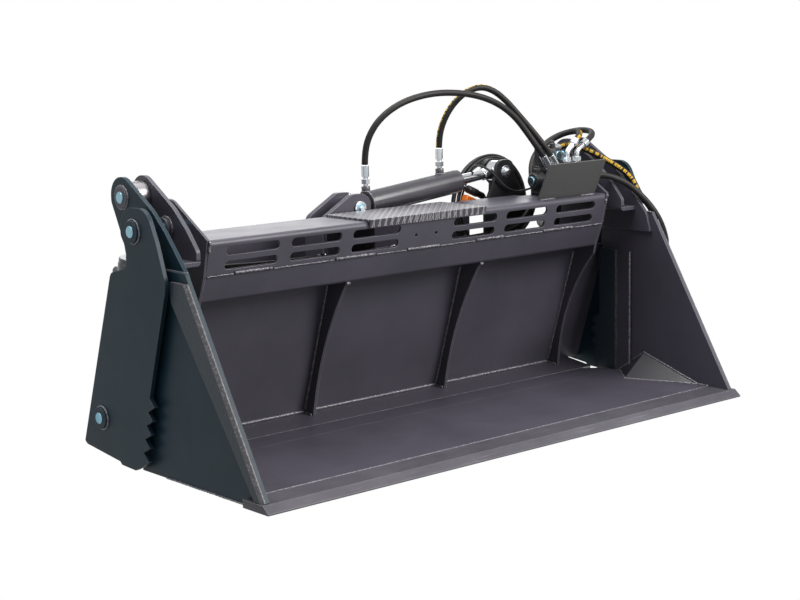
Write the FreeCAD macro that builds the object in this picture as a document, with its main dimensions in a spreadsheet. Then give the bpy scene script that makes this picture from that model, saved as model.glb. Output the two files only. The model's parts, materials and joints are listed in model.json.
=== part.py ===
"""Four-in-one skid steer bucket with a hydraulic tilt hitch, as a parametric FreeCAD document.

Frame: +X along the width to the right, +Y to the rear, +Z up. The origin is on the ground, at the middle of the
width, straight below the clam hinge axis. Outlines are drawn as (y, z) with y measured rearward from the tip of the
cutting edge, and each sub-part's Placement then moves it forward by tip_reach, so the hinge axis comes over the origin.
"""

import FreeCAD, Part
import math
import os

import Sketcher
from FreeCAD import Placement, Rotation, Vector

DRIVING = {
    # overall
    "tip_reach": 546.0,
    "side_plate_face": 915.0,
    "edge_overhang": 14.6,
    # plate thicknesses
    "side_plate_t": 12.0,
    "cheek_t": 12.0,
    "beam_t": 8.0,
    "back_plate_t": 8.0,
    "rib_t": 10.0,
    "end_plate_t": 8.0,
    "lug_t": 12.0,
    "floor_t": 10.0,
    "hitch_t": 10.0,
    # places across the width
    "cheek_inner": 929.0,
    "end_plate_face": 786.0,
    "outer_arm_inner": 891.0,
    "inner_arm_inner": 824.0,
    "cylinder_lug_inner": 800.0,
    "rib_place": 266.0,
    # pivots, as distance behind the tip and height
    "hinge_y": 546.0,
    "hinge_z": 662.0,
    "crank_y": 655.0,
    "crank_z": 742.0,
    "base_y": 749.0,
    "base_z": 126.0,
    "tilt_z": 320.0,
    "tilt_plane_y": 690.0,
    "tilt_base_x": -82.0,
    "tilt_base_z": 642.0,
    "tilt_rod_x": 536.0,
    "tilt_rod_z": 708.0,
    # pins and bores
    "pin_r": 16.0,
    "running_fit": 0.05,
    "open_pivot_gap": 7.0,
    "boss_r": 31.0,
    "boss_t": 9.0,
    # cylinders
    "barrel_r": 38.0,
    "barrel_wall": 6.5,
    "rod_r": 16.5,
    "eye_r": 31.0,
    "tilt_eye_gap": 5.6,
    # hitch
    "hitch_half_width": 572.0,
    "pivot_pin_r": 30.0,
    "lock_slot_spacing": 1003.3,
    "lock_slot_length": 44.0,
    "lock_slot_width": 26.0,
    # hoses and cable
    "hose_r": 10.0,
    "cable_r": 3.5,
    "coil_radius": 154.0,
    "coil_section_r": 20.0,
}

DOC = FreeCAD.newDocument("bucket")
SHEET = DOC.addObject("Spreadsheet::Sheet", "Sizes")
NODES = []


def fill_sheet():
    """Writes every driving dimension to its own row: its name in column A, its value in column B."""
    for row, (alias, value) in enumerate(DRIVING.items(), start=1):
        SHEET.set(f"A{row}", alias)
        SHEET.set(f"B{row}", str(value))
        SHEET.setAlias(f"B{row}", alias)
    DOC.recompute()


def size(alias):
    return float(SHEET.get(alias))


def bind(thing, prop, expression):
    """Binds a property to the sheet; names in the expression that are aliases get the sheet's prefix."""
    words = expression.replace("(", "( ").replace(")", " )").split()
    thing.setExpression(prop, " ".join(f"Sizes.{w}" if w in DRIVING else w for w in words))


def node(thing, label):
    """Marks a document object as a finished sub-part and gives it the name of its file."""
    thing.Label = label
    NODES.append(thing)
    return thing


# ---------------------------------------------------------------- outlines


def rounded(points):
    """Closed outline of (u, v) or (u, v, radius) corners as line and arc geometry in the sketch plane."""
    corners = [(Vector(p[0], p[1], 0), p[2] if len(p) > 2 else 0.0) for p in points]
    count = len(corners)
    pieces = []
    joints = []
    for i, (corner, radius) in enumerate(corners):
        before = (corners[i - 1][0] - corner).normalize()
        after = (corners[(i + 1) % count][0] - corner).normalize()
        if radius <= 0:
            joints.append((corner, corner, None))
            continue
        half = before.getAngle(after) / 2.0
        reach = radius / math.tan(half)
        start = corner + before * reach
        end = corner + after * reach
        bisector = (before + after).normalize()
        middle = corner + bisector * (radius / math.sin(half) - radius)
        joints.append((start, end, middle))
    for i, (start, end, middle) in enumerate(joints):
        if middle is not None:
            pieces.append(Part.Arc(start, middle, end))
        following = joints[(i + 1) % count][0]
        if end.distanceToPoint(following) > 1e-4:
            pieces.append(Part.LineSegment(end, following))
    return pieces


def strip(line, thickness):
    """Outline of a folded sheet: the line is one skin, and the other lies to its left. A third value is a bend."""
    points = [Vector(p[0], p[1], 0) for p in line]
    bends = [p[2] if len(p) > 2 else 0.0 for p in line]
    normals = []
    for a, b in zip(points, points[1:]):
        along = (b - a).normalize()
        normals.append(Vector(-along.y, along.x, 0))
    outline = [(p.x, p.y, bends[i]) for i, p in enumerate(points)]
    offset = []
    for i, p in enumerate(points):
        first = normals[max(i - 1, 0)]
        second = normals[min(i, len(normals) - 1)]
        mitre = (first + second).normalize()
        moved = p + mitre * (thickness / mitre.dot(first))
        bend = bends[i]
        if bend > 0:
            turns_left = first.cross(second).z > 0
            outline[i] = (p.x, p.y, bend + thickness if turns_left else bend)
            bend = bend if turns_left else bend + thickness
        offset.append((moved.x, moved.y, bend))
    return outline + offset[::-1]


# ---------------------------------------------------------------- feature helpers


def origin_plane(body, role):
    return next(f for f in body.Origin.OriginFeatures if f.Role == role)


def new_sketch(body, name, role):
    sketch = body.newObject("Sketcher::SketchObject", name)
    sketch.AttachmentSupport = (origin_plane(body, role), [""])
    sketch.MapMode = "FlatFace"
    return sketch


def draw(sketch, geometry):
    for piece in geometry:
        sketch.addGeometry(piece, False)


def draw_bore(sketch, centre, radius):
    """A circle whose centre and radius are expressions of the sheet, as sketch constraints."""
    values = [sum_of(text) for text in (centre[0], centre[1], radius)]
    circle = sketch.addGeometry(Part.Circle(Vector(values[0], values[1], 0), Vector(0, 0, 1), values[2]), False)
    wanted = [
        (Sketcher.Constraint("Radius", circle, values[2]), radius),
        (Sketcher.Constraint("DistanceX", -1, 1, circle, 3, values[0]), centre[0]),
        (Sketcher.Constraint("DistanceY", -1, 1, circle, 3, values[1]), centre[1]),
    ]
    for constraint, expression in wanted:
        index = sketch.addConstraint(constraint)
        bind(sketch, f"Constraints[{index}]", expression)


def sum_of(expression):
    """Value of an expression of aliases and numbers joined by + and -."""
    total = 0.0
    sign = 1.0
    for word in expression.split():
        if word in "+-":
            sign = 1.0 if word == "+" else -1.0
        else:
            total += sign * (size(word) if word in DRIVING else float(word))
    return total


def pad_body(name, role, geometry, length, bores=()):
    """A body with one sketch of an outline and its bores, padded along the plane's normal."""
    body = DOC.addObject("PartDesign::Body", name)
    sketch = new_sketch(body, name + "_outline", role)
    draw(sketch, geometry)
    for centre, radius in bores:
        draw_bore(sketch, centre, radius)
    pad = body.newObject("PartDesign::Pad", name + "_pad")
    pad.Profile = sketch
    bind(pad, "Length", length)
    sketch.Visibility = False
    return body


def place(thing, across="0", back="- tip_reach", up="0"):
    """Places a sub-part by expressions of the sheet; back moves the outlines' tip to its place."""
    bind(thing, "Placement.Base.x", across)
    bind(thing, "Placement.Base.y", back)
    bind(thing, "Placement.Base.z", up)
    return thing


def side_plate_body(name, outline, thickness, inner, bores=()):
    """A right-hand plate in a plane across the width, its inner face at the inner place."""
    return place(pad_body(name, "YZ_Plane", rounded(outline), thickness, bores), across=inner)


def full_width_body(name, outline, half_width):
    """A sheet or bar of constant section that runs across the width, symmetric about the middle."""
    body = pad_body(name, "YZ_Plane", rounded(outline), f"2 * ( {half_width} )")
    return place(body, across=f"- ( {half_width} )")


def mirrored(thing, name):
    """The left-hand twin of a right-hand object."""
    twin = DOC.addObject("Part::Mirroring", name)
    twin.Source = thing
    twin.Normal = Vector(1, 0, 0)
    twin.Base = Vector(0, 0, 0)
    return twin


def both_sides(thing, name):
    node(thing, name + "_right")
    node(mirrored(thing, name + "_left_twin"), name + "_left")


def group(name, members):
    """Separate solids of one kind, kept as one sub-part."""
    compound = DOC.addObject("Part::Compound", name + "_group")
    compound.Links = members
    return node(compound, name)


def fuse(name, members):
    joined = DOC.addObject("Part::MultiFuse", name)
    joined.Shapes = members
    return joined


def cut(name, base, tool):
    cutting = DOC.addObject("Part::Cut", name)
    cutting.Base = base
    cutting.Tool = tool
    return cutting


def box(name, low, high):
    """A block between two corners, both in the outlines' own frame."""
    block = DOC.addObject("Part::Box", name)
    block.Length = high[0] - low[0]
    block.Width = high[1] - low[1]
    block.Height = high[2] - low[2]
    block.Placement.Base = Vector(low[0], low[1] - size("tip_reach"), low[2])
    return block


ALONG = {
    "x": Rotation(Vector(0, 1, 0), 90),
    "-x": Rotation(Vector(0, 1, 0), -90),
    "y": Rotation(Vector(1, 0, 0), -90),
    "-y": Rotation(Vector(1, 0, 0), 90),
    "z": Rotation(),
    "-z": Rotation(Vector(1, 0, 0), 180),
}


def rod_shape(name, radius, length, axis, start):
    """A plain cylinder from its start point along an axis; radius is an expression of the sheet."""
    cylinder = DOC.addObject("Part::Cylinder", name)
    bind(cylinder, "Radius", radius)
    cylinder.Height = length
    rotation = ALONG[axis] if isinstance(axis, str) else Rotation(Vector(0, 0, 1), axis)
    cylinder.Placement = Placement(Vector(start[0], start[1] - size("tip_reach"), start[2]), rotation)
    return cylinder


def turned(name, profile, axis, start):
    """A turned piece: the profile is (radius, distance along the axis), revolved about the axis from start."""
    body = DOC.addObject("PartDesign::Body", name)
    sketch = new_sketch(body, name + "_profile", "XZ_Plane")
    draw(sketch, rounded(profile))
    revolution = body.newObject("PartDesign::Revolution", name + "_turn")
    revolution.Profile = sketch
    revolution.ReferenceAxis = (sketch, ["V_Axis"])
    revolution.Angle = 360.0
    sketch.Visibility = False
    rotation = ALONG[axis] if isinstance(axis, str) else Rotation(Vector(0, 0, 1), axis)
    body.Placement = Placement(Vector(start[0], start[1] - size("tip_reach"), start[2]), rotation)
    return body


def pin(name, radius, length, axis, start, bevel=2.0):
    """A plain pin with bevelled ends."""
    profile = [(0, 0), (radius - bevel, 0), (radius, bevel)]
    profile += [(radius, length - bevel), (radius - bevel, length), (0, length)]
    return turned(name, profile, axis, start)


def ring(name, outer, inner, length, axis, start, bevel=1.5):
    """A turned collar with a bevelled outer rim at its far end."""
    profile = [(inner, 0), (outer, 0), (outer, length - bevel), (outer - bevel, length), (inner, length)]
    return turned(name, profile, axis, start)


def hexagon(name, across_flats, length, axis, start):
    """A hexagonal nut body along an axis."""
    prism = DOC.addObject("Part::Prism", name)
    prism.Polygon = 6
    prism.Circumradius = across_flats / math.sqrt(3.0)
    prism.Height = length
    rotation = ALONG[axis] if isinstance(axis, str) else Rotation(Vector(0, 0, 1), axis)
    prism.Placement = Placement(Vector(start[0], start[1] - size("tip_reach"), start[2]), rotation)
    return prism


def tube(label, route, radius, tight=5.0):
    """A hose or cable: straight runs joined by tangent arcs along the route, swept with a round section.

    Each arc's radius is 0.45 of the shorter run beside it, divided by the tangent of half the turn.
    """
    points = [Vector(p[0], p[1] - size("tip_reach"), p[2]) for p in route]
    edges = []
    radii = []
    last = points[0]
    for before, corner, after in zip(points, points[1:], points[2:]):
        back = before - corner
        ahead = after - corner
        reach = 0.45 * min(back.Length, ahead.Length)
        back.normalize()
        ahead.normalize()
        half_turn = (math.pi - back.getAngle(ahead)) / 2.0
        radii.append(reach / math.tan(half_turn))
        start = corner + back * reach
        end = corner + ahead * reach
        centre = corner + (back + ahead).normalize() * (radii[-1] / math.cos(half_turn))
        middle = centre + (corner - centre).normalize() * radii[-1]
        edges.append(Part.LineSegment(last, start).toShape())
        edges.append(Part.Arc(start, middle, end).toShape())
        last = end
    edges.append(Part.LineSegment(last, points[-1]).toShape())
    path = Part.Wire(edges)
    section = Part.Wire(Part.Circle(points[0], points[1] - points[0], radius).toShape())
    solid = path.makePipeShell([section], True, False)
    ratio = solid.Volume / (math.pi * radius**2 * path.Length)
    print(
        f"{label}: length {path.Length:.0f} mm, tightest radius {min(radii):.0f} mm"
        f" ({min(radii) / (2 * radius):.1f} diameters), volume ratio {ratio:.4f}"
    )
    if min(radii) < tight * 2 * radius:
        print(f"  {label}: radii " + " ".join(f"{value:.0f}" for value in radii))
    hose = DOC.addObject("Part::Feature", label)
    hose.Shape = solid
    hose.Placement = Placement()
    return node(hose, label)


# ---------------------------------------------------------------- clam (the moving front jaw)

FRONT_SLOPE = 0.5896
SIDE_FRONT_FOOT = (27.0, 22.2)


def side_front(height):
    """Distance of the side plates' front edge behind the tip, at a height."""
    return SIDE_FRONT_FOOT[0] + FRONT_SLOPE * (height - SIDE_FRONT_FOOT[1])


BITE_TEETH = [(566, 205), (601, 184), (582, 167), (606, 150), (583, 128), (605, 112), (582, 90), (602, 73), (582, 50)]
HINGE_BORE = (("hinge_y", "hinge_z"), "pin_r + running_fit")
CRANK_BORE = (("crank_y", "crank_z"), "pin_r")


def cutting_edge():
    section = [(0, 0), (0, 4), (21, 22), (106, 22), (106, 0)]
    return node(full_width_body("edge_bar", section, "side_plate_face + edge_overhang"), "cutting_edge")


def floor_plates():
    front = [(106, 12), (106, 22), (496, 22), (496, 12)]
    node(full_width_body("floor_sheet", front, "side_plate_face - side_plate_t"), "floor_plate")
    half = size("side_plate_face") - 2 * size("side_plate_t")
    notch = 62.0
    plan = [(-half, 496), (half, 496), (half, 540), (half - notch, 594), (-half + notch, 594), (-half, 540)]
    bar = pad_body("floor_bar", "XY_Plane", rounded(plan), "floor_t")
    node(place(bar, up="12"), "floor_rear_bar")


def skid_bars():
    bars = [box(f"skid_{i}", (x - 35, 106, 0), (x + 35, 585, 12)) for i, x in enumerate((-600, 0, 600))]
    return group("skid_bars", bars)


def side_plates():
    top = 566.0
    front = [(*SIDE_FRONT_FOOT, 1), (side_front(top), top, 4), (566, top)]
    rear = BITE_TEETH + [(590, 2), (106.5, 2), (106.5, 22.2)]
    both_sides(side_plate_body("side_sheet", front + rear, "side_plate_t", "side_plate_face - side_plate_t"), "side_plate")


def side_cutters():
    top = 541.0
    outline = [(*SIDE_FRONT_FOOT, 1), (side_front(top), top, 3), (405, top, 4), (400, 487, 20), (60, 22.2)]
    right = side_plate_body("cutter_sheet", outline, "side_plate_t", "side_plate_face")
    wedge_outline = [(0, 0), (8, 0), (0, 8)]
    reach = math.hypot(side_front(top) - SIDE_FRONT_FOOT[0], top - SIDE_FRONT_FOOT[1])
    wedge = pad_body("cutter_wedge", "XY_Plane", rounded(wedge_outline), f"{reach + 60:.1f}")
    lean = math.degrees(math.atan(FRONT_SLOPE))
    face = size("side_plate_face") + size("side_plate_t")
    turn = Rotation(Vector(1, 0, 0), -lean) * Rotation(Vector(0, 0, 1), 90)
    start = Vector(face, side_front(0) - size("tip_reach"), 0) - turn.multVec(Vector(0, 0, 1)) * 20
    wedge.Placement = Placement(start, turn)
    right = cut("cutter_bevelled", right, wedge)
    group("side_cutters", [right, mirrored(right, "cutter_left_twin")])


def bite_plates():
    outline = [(496, 22.2), (496, 430, 3), (566, 430, 3)] + BITE_TEETH + [(590, 22.2)]
    right = side_plate_body("bite_sheet", outline, "side_plate_t", "side_plate_face - 2 * side_plate_t")
    group("bite_plates", [right, mirrored(right, "bite_left_twin")])


def corner_gussets():
    """A three-sided pyramid of folded plate in each corner between the floor and a side plate."""
    side = size("side_plate_face") - size("side_plate_t")
    corners = [(side, 377, 96), (side - 96, 377, 22), (side, 148, 22), (side, 485, 22)]
    apex, inboard, front, rear = [Vector(c[0], c[1] - size("tip_reach"), c[2]) for c in corners]
    triangles = [(apex, inboard, front), (apex, inboard, rear), (apex, front, rear), (inboard, front, rear)]
    faces = [Part.Face(Part.makePolygon([a, b, c, a])) for a, b, c in triangles]
    right = DOC.addObject("Part::Feature", "gusset_solid")
    right.Shape = Part.makeSolid(Part.makeShell(faces))
    right.Placement = Placement()
    group("corner_gussets", [right, mirrored(right, "gusset_left_twin")])


CRANK_LOBE = [(512, 717, 150), (640, 797, 55), (710, 797, 54), (710, 728, 30)]


def outer_arms():
    outline = [(345, 502, 2), (361, 561, 60), (453, 663, 200)] + CRANK_LOBE
    outline += [(656, 622, 60), (640, 560, 40), (566, 502, 6)]
    right = side_plate_body("outer_arm_sheet", outline, "side_plate_t", "outer_arm_inner", [HINGE_BORE, CRANK_BORE])
    both_sides(right, "outer_arm")


def inner_arms():
    """Inner arm plates, each with a lip folded out under it to meet the outer arm."""
    outline = [(408, 583, 8), (408, 610, 18), (453, 663, 200)] + CRANK_LOBE
    outline += [(656, 622, 50), (600, 576, 30), (580, 571, 5)]
    arm = side_plate_body("inner_arm_sheet", outline, "side_plate_t", "inner_arm_inner", [HINGE_BORE, CRANK_BORE])
    lip_outline = [(408, 571), (408, 583), (560, 583), (560, 571)]
    reach = "outer_arm_inner - inner_arm_inner"
    lip = side_plate_body("arm_lip", lip_outline, reach, "inner_arm_inner")
    joined = fuse("inner_arm_joined", [arm, lip])
    DOC.recompute()
    folded = DOC.addObject("Part::Fillet", "inner_arm_folded")
    folded.Base = joined
    folded.Edges = [(fold_edge(joined), 11.0, 11.0)]
    both_sides(folded, "inner_arm")


def fold_edge(thing):
    """Number of the long bottom edge of the lip under the arm's inner face."""
    x = size("inner_arm_inner")
    for number, edge in enumerate(thing.Shape.Edges, start=1):
        ends = [v.Point for v in edge.Vertexes]
        if len(ends) == 2 and edge.Length > 100 and all(abs(p.x - x) < 0.01 and abs(p.z - 571) < 0.01 for p in ends):
            return number
    raise RuntimeError("the lip's fold edge is missing")


def arm_bosses():
    """Welded collars round the crank pins and the hinge pins on the arms' faces."""
    outer_face = size("outer_arm_inner") + size("side_plate_t")
    inner_face = size("inner_arm_inner") + size("side_plate_t")
    crank = (size("crank_y"), size("crank_z"))
    hinge = (size("hinge_y"), size("hinge_z"))
    free = size("pin_r") + size("running_fit")
    rings = [
        ring("crank_boss_outer", size("boss_r"), size("pin_r"), 6.0, "x", (outer_face, *crank)),
        ring("hinge_boss_inner", 29.0, free, 14.0, "x", (inner_face, *hinge)),
        ring("crank_boss_inner", 29.0, size("pin_r"), 8.0, "-x", (size("inner_arm_inner"), *crank)),
    ]
    group("arm_bosses", rings + [mirrored(r, r.Name + "_left") for r in rings])


def crank_pins():
    right = pin("crank_pin", size("pin_r"), 112.0, "x", (801.0, size("crank_y"), size("crank_z")))
    group("crank_pins", [right, mirrored(right, "crank_pin_left_twin")])


def hose_parking():
    """A folded bracket on the right side plate that holds the two feed couplers when they are not in use."""
    foot = box("parking_foot", (915, 330, 318), (921, 400, 372))
    shelf = box("parking_shelf", (915, 330, 366), (1018, 400, 372))
    joined = fuse("parking_joined", [foot, shelf])
    holes = [rod_shape(f"parking_hole_{i}", "15.5", 30, "z", (x, 365, 355)) for i, x in enumerate(PARK_X)]
    node(cut("parking_cut", joined, fuse("parking_holes", holes)), "coupler_bracket")
    couplers = []
    for i, x in enumerate(PARK_X):
        profile = [(0, 0), (12, 0), (15.4, 4), (15.4, 34), (19, 34), (19, 50), (15, 50), (15, 66), (13.5, 66)]
        profile += [(13.5, 96), (0, 96)]
        couplers.append(turned(f"coupler_{i}", profile, "z", (x, 365, 338.2)))
    group("feed_couplers", couplers)


PARK_X = (952.0, 994.0)


# ---------------------------------------------------------------- rear frame

TEETH_PITCH = (10.2, 39.0)
FIRST_VALLEY = (501.0, 220.0)
FIRST_TIP = (480.0, 197.0)


def cheek_teeth():
    """Saw teeth down the cheek's front edge: valleys and tips, each a pitch lower and further back."""
    teeth = []
    for i in range(5):
        teeth.append((FIRST_VALLEY[0] + i * TEETH_PITCH[0], FIRST_VALLEY[1] - i * TEETH_PITCH[1]))
        teeth.append((FIRST_TIP[0] + i * TEETH_PITCH[0], FIRST_TIP[1] - i * TEETH_PITCH[1]))
    return teeth


def cheeks():
    outline = cheek_teeth() + [(553, 20, 4), (586, 6), (655, 9), (664, 17), (836, 36, 6), (848, 44, 5)]
    outline += [(669, 541, 26), (586, 560, 26), (583, 612, 24), (608, 648, 24), (608, 725, 58), (480, 725, 56)]
    outline += [(438, 640, 150), (399, 530, 70)]
    bores = [(("hinge_y", "hinge_z"), "pin_r"), (("base_y", "base_z"), "pin_r")]
    both_sides(side_plate_body("cheek_sheet", outline, "cheek_t", "cheek_inner", bores), "cheek")


def cheek_bosses():
    face = size("cheek_inner") + size("cheek_t")
    rings = []
    for name, y, z in (("hinge", "hinge_y", "hinge_z"), ("base", "base_y", "base_z")):
        start = (face, size(y), size(z))
        rings.append(ring(f"cheek_boss_{name}", size("boss_r"), size("pin_r"), size("boss_t"), "x", start))
    group("cheek_bosses", rings + [mirrored(r, r.Name + "_left") for r in rings])


def frame_pins():
    hinge_length = 954.0 - 773.0
    hinge = pin("hinge_pin", size("pin_r"), hinge_length, "x", (773.0, size("hinge_y"), size("hinge_z")))
    group("hinge_pins", [hinge, mirrored(hinge, "hinge_pin_left_twin")])
    base = pin("base_pin", size("pin_r"), 954.0 - 792.0, "x", (792.0, size("base_y"), size("base_z")))
    x, z = size("tilt_base_x"), size("tilt_base_z")
    tilt = pin("tilt_base_pin", size("pin_r"), 104.0, "y", (x, 638.0, z))
    group("base_pins", [base, mirrored(base, "base_pin_left_twin"), tilt])


BACK_TOP = (574.5, 441.0)
BACK_FOOT = (702.0, 37.6)
BLADE_TOP = ((650.0, 29.5), (716.0, 38.5))


def back_front_face(height):
    """Distance of the back plate's front face behind the tip, at a height."""
    slope = (BACK_TOP[0] - BACK_FOOT[0]) / (BACK_TOP[1] - BACK_FOOT[1])
    return BACK_FOOT[0] + slope * (height - BACK_FOOT[1])


def back_rear_face(height):
    run = math.hypot(BACK_TOP[0] - BACK_FOOT[0], BACK_TOP[1] - BACK_FOOT[1])
    return back_front_face(height) + size("back_plate_t") * run / (BACK_TOP[1] - BACK_FOOT[1])


def blade_top(y):
    (y0, z0), (y1, z1) = BLADE_TOP
    return z0 + (y - y0) * (z1 - z0) / (y1 - y0)


def back_plate():
    outline = strip([BACK_TOP, BACK_FOOT], size("back_plate_t"))
    node(full_width_body("back_sheet", outline, "cheek_inner"), "back_plate")


def rear_blade():
    outline = [(598, 21.8), BLADE_TOP[0], BLADE_TOP[1], (716, 18), (604, 6.5)]
    node(full_width_body("blade_bar", outline, "side_plate_face - 31"), "rear_blade")


HEADER_FRONT = (427.0, 631.0)
HEADER_FOOT = (454.5, 532.0)
LOWER_FOOT = (484.0, 456.0)
FLANGE_REAR = 630.0
SLOT_CENTRES = (-632.0, -412.0, -192.0, 198.0, 418.0, 638.0)


def header_panel():
    """The beam's folded top panel, drawn with its face upright so that the slots can be cut square to it."""
    lean = math.atan2(HEADER_FOOT[0] - HEADER_FRONT[0], HEADER_FRONT[1] - HEADER_FOOT[1])
    face_height = math.hypot(HEADER_FOOT[0] - HEADER_FRONT[0], HEADER_FRONT[1] - HEADER_FOOT[1])
    depth = FLANGE_REAR - HEADER_FRONT[0]
    flange_end = (depth * math.cos(lean), -depth * math.sin(lean))
    outline = strip([(0, -face_height), (0, 0, 5), flange_end][::-1], size("beam_t"))
    half = size("end_plate_face") - size("end_plate_t")
    body = pad_body("header_sheet", "YZ_Plane", rounded(outline), "2 * ( end_plate_face - end_plate_t )")
    slots = new_sketch(body, "header_slots", "XZ_Plane")
    for centre in SLOT_CENTRES:
        for height, length, width in ((-34.0, 180.0, 27.0), (-77.0, 178.0, 26.0)):
            low = centre + half - length / 2
            corners = [(low, height - width / 2), (low + length, height - width / 2)]
            corners += [(low + length, height + width / 2), (low, height + width / 2)]
            draw(slots, rounded([(x, z, width / 2 - 0.05) for x, z in corners]))
    for x in (-38.0, 42.0):
        slots.addGeometry(Part.Circle(Vector(x + half, -60, 0), Vector(0, 0, 1), 5.5), False)
    pocket = body.newObject("PartDesign::Pocket", "header_slot_cut")
    pocket.Profile = slots
    pocket.Length = 30.0
    pocket.Reversed = False
    slots.Visibility = False
    DOC.recompute()
    sheet_volume = DOC.getObject("header_sheet_pad").Shape.Volume
    if body.Shape.Volume > 0.98 * sheet_volume:
        pocket.Reversed = True
        DOC.recompute()
    turn = Rotation(Vector(1, 0, 0), math.degrees(lean))
    body.Placement = Placement(Vector(-half, HEADER_FRONT[0] - size("tip_reach"), HEADER_FRONT[1]), turn)
    gate = box("hose_gate", (612, 522, 600), (712, 640, 650))
    notch = box("hose_notch", (554, 594, 600), (618, 660, 650))
    node(cut("header_with_gate", body, fuse("header_openings", [gate, notch])), "header_panel")
    print(f"header slots cut {sheet_volume - body.Shape.Volume:.0f} mm3")


def header_lower_bar():
    line = [(574, 441.6), (*LOWER_FOOT, 6), (HEADER_FOOT[0] + 0.4, HEADER_FOOT[1] - 1.0)]
    outline = strip(line[::-1], size("beam_t"))
    node(full_width_body("lower_sheet", outline, "end_plate_face - end_plate_t"), "header_lower_bar")


def grip_strip():
    """Tread plate folded over the beam's front top corner."""
    slope = (HEADER_FOOT[0] - HEADER_FRONT[0]) / (HEADER_FRONT[1] - HEADER_FOOT[1])
    lift = 0.4
    drop = 15.0
    line = [(FLANGE_REAR - 4, HEADER_FRONT[1] + lift), (HEADER_FRONT[0] - lift, HEADER_FRONT[1] + lift)]
    line.append((HEADER_FRONT[0] - lift + slope * drop, HEADER_FRONT[1] - drop))
    body = pad_body("grip_sheet", "YZ_Plane", rounded(strip(line[::-1], 6.0)), "456")
    node(place(body, across="- 229"), "grip_strip")


RIB_MIDDLE = (603.5, 236.0)


def ribs():
    low = Vector(660, blade_top(660), 0)
    foot = Vector(back_front_face(blade_top(702) + 0.6), blade_top(702) + 0.6, 0)
    high = Vector(*BACK_TOP, 0)
    nose = Vector(LOWER_FOOT[0] + 1.5, LOWER_FOOT[1] - 0.4, 0)
    curve = Part.Arc(nose, Vector(*RIB_MIDDLE, 0), low)
    geometry = [curve, Part.LineSegment(low, foot), Part.LineSegment(foot, high), Part.LineSegment(high, nose)]
    members = []
    for i, sign in enumerate((-1, 1)):
        rib = pad_body(f"rib_{i}", "YZ_Plane", geometry, "rib_t")
        members.append(place(rib, across=f"{sign} * rib_place - 5"))
    group("ribs", members)


def end_plates():
    """Plates that close the beam's ends, curve down like the ribs and rise behind to carry the hinge pins."""
    low = (654.0, blade_top(654) + 0.2)
    curve_top = (490.0, 430.0)
    tail = [(low[0], low[1]), (back_front_face(38.4) - 0.15, 38.4), (BACK_TOP[0] - 0.2, BACK_TOP[1] + 0.3)]
    tail += [(BACK_TOP[0] + 9, BACK_TOP[1] + 3.6), (662, 456), (662, 712, 40)]
    tail += [(605, 740, 60), (HEADER_FRONT[0] + 3, HEADER_FRONT[1] + 2, 3), HEADER_FOOT, LOWER_FOOT, curve_top]
    straight = rounded(tail)
    closing = straight.pop()
    assert closing.StartPoint.distanceToPoint(Vector(*curve_top, 0)) < 1e-3
    curve = Part.Arc(Vector(*curve_top, 0), Vector(607.5, 243.0, 0), Vector(*low, 0))
    bores = [(("hinge_y", "hinge_z"), "pin_r")]
    body = pad_body("end_sheet", "YZ_Plane", straight + [curve], "end_plate_t", bores)
    place(body, across="end_plate_face - end_plate_t")
    both_sides(body, "end_plate")


def cylinder_lugs():
    """Inner supports of the clam cylinders' base pins, behind the back plate."""
    outline = [(back_rear_face(48), 48), (794, 74, 40), (794, 182, 40), (back_rear_face(206), 206)]
    bores = [(("base_y", "base_z"), "pin_r")]
    right = side_plate_body("cylinder_lug_sheet", outline, "lug_t", "cylinder_lug_inner", bores)
    group("cylinder_lugs", [right, mirrored(right, "cylinder_lug_left_twin")])


HOUSING_FRONT = 735.0
HOUSING_REAR = 800.0


def back_stiffeners():
    outline = [(back_rear_face(48), 48), (HOUSING_FRONT, 64, 8), (HOUSING_FRONT, 404, 24), (back_rear_face(440), 440)]
    members = []
    for i, x in enumerate((-415, -140, 140, 415)):
        members.append(place(pad_body(f"stiffener_{i}", "YZ_Plane", rounded(outline), "rib_t"), across=f"{x} - 5"))
    group("back_stiffeners", members)


def pivot_housing():
    """Plate across the two middle stiffeners, with the tilt pivot's bearing boss on its rear."""
    tilt_z = size("tilt_z")
    plate = box("housing_plate", (-165, HOUSING_FRONT, 120), (165, HOUSING_FRONT + 20, 430))
    boss = rod_shape("housing_boss", "95", HOUSING_REAR - HOUSING_FRONT - 20, "y", (0, HOUSING_FRONT + 20, tilt_z))
    bore = rod_shape("housing_bore", "pivot_pin_r", 80, "y", (0, HOUSING_FRONT - 5, tilt_z))
    node(cut("housing_cut", fuse("housing_joined", [plate, boss]), bore), "pivot_housing")


def pivot_pin():
    """Headed pin of the tilt pivot: a shaft in the housing and the hitch hub, with a plate and nut behind."""
    tilt_z = size("tilt_z")
    radius = size("pivot_pin_r")
    profile = [(0, 0), (radius - 3, 0), (radius, 3), (radius, 141), (52, 141), (52, 151), (36, 151), (36, 172)]
    profile += [(33, 175), (0, 175)]
    node(turned("pivot_shaft", profile, "y", (0, HOUSING_FRONT, tilt_z)), "pivot_pin")


TILT_FRONT_LUG = (646.0, 664.0)
TILT_REAR_LUG = (716.0, 734.0)


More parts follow.
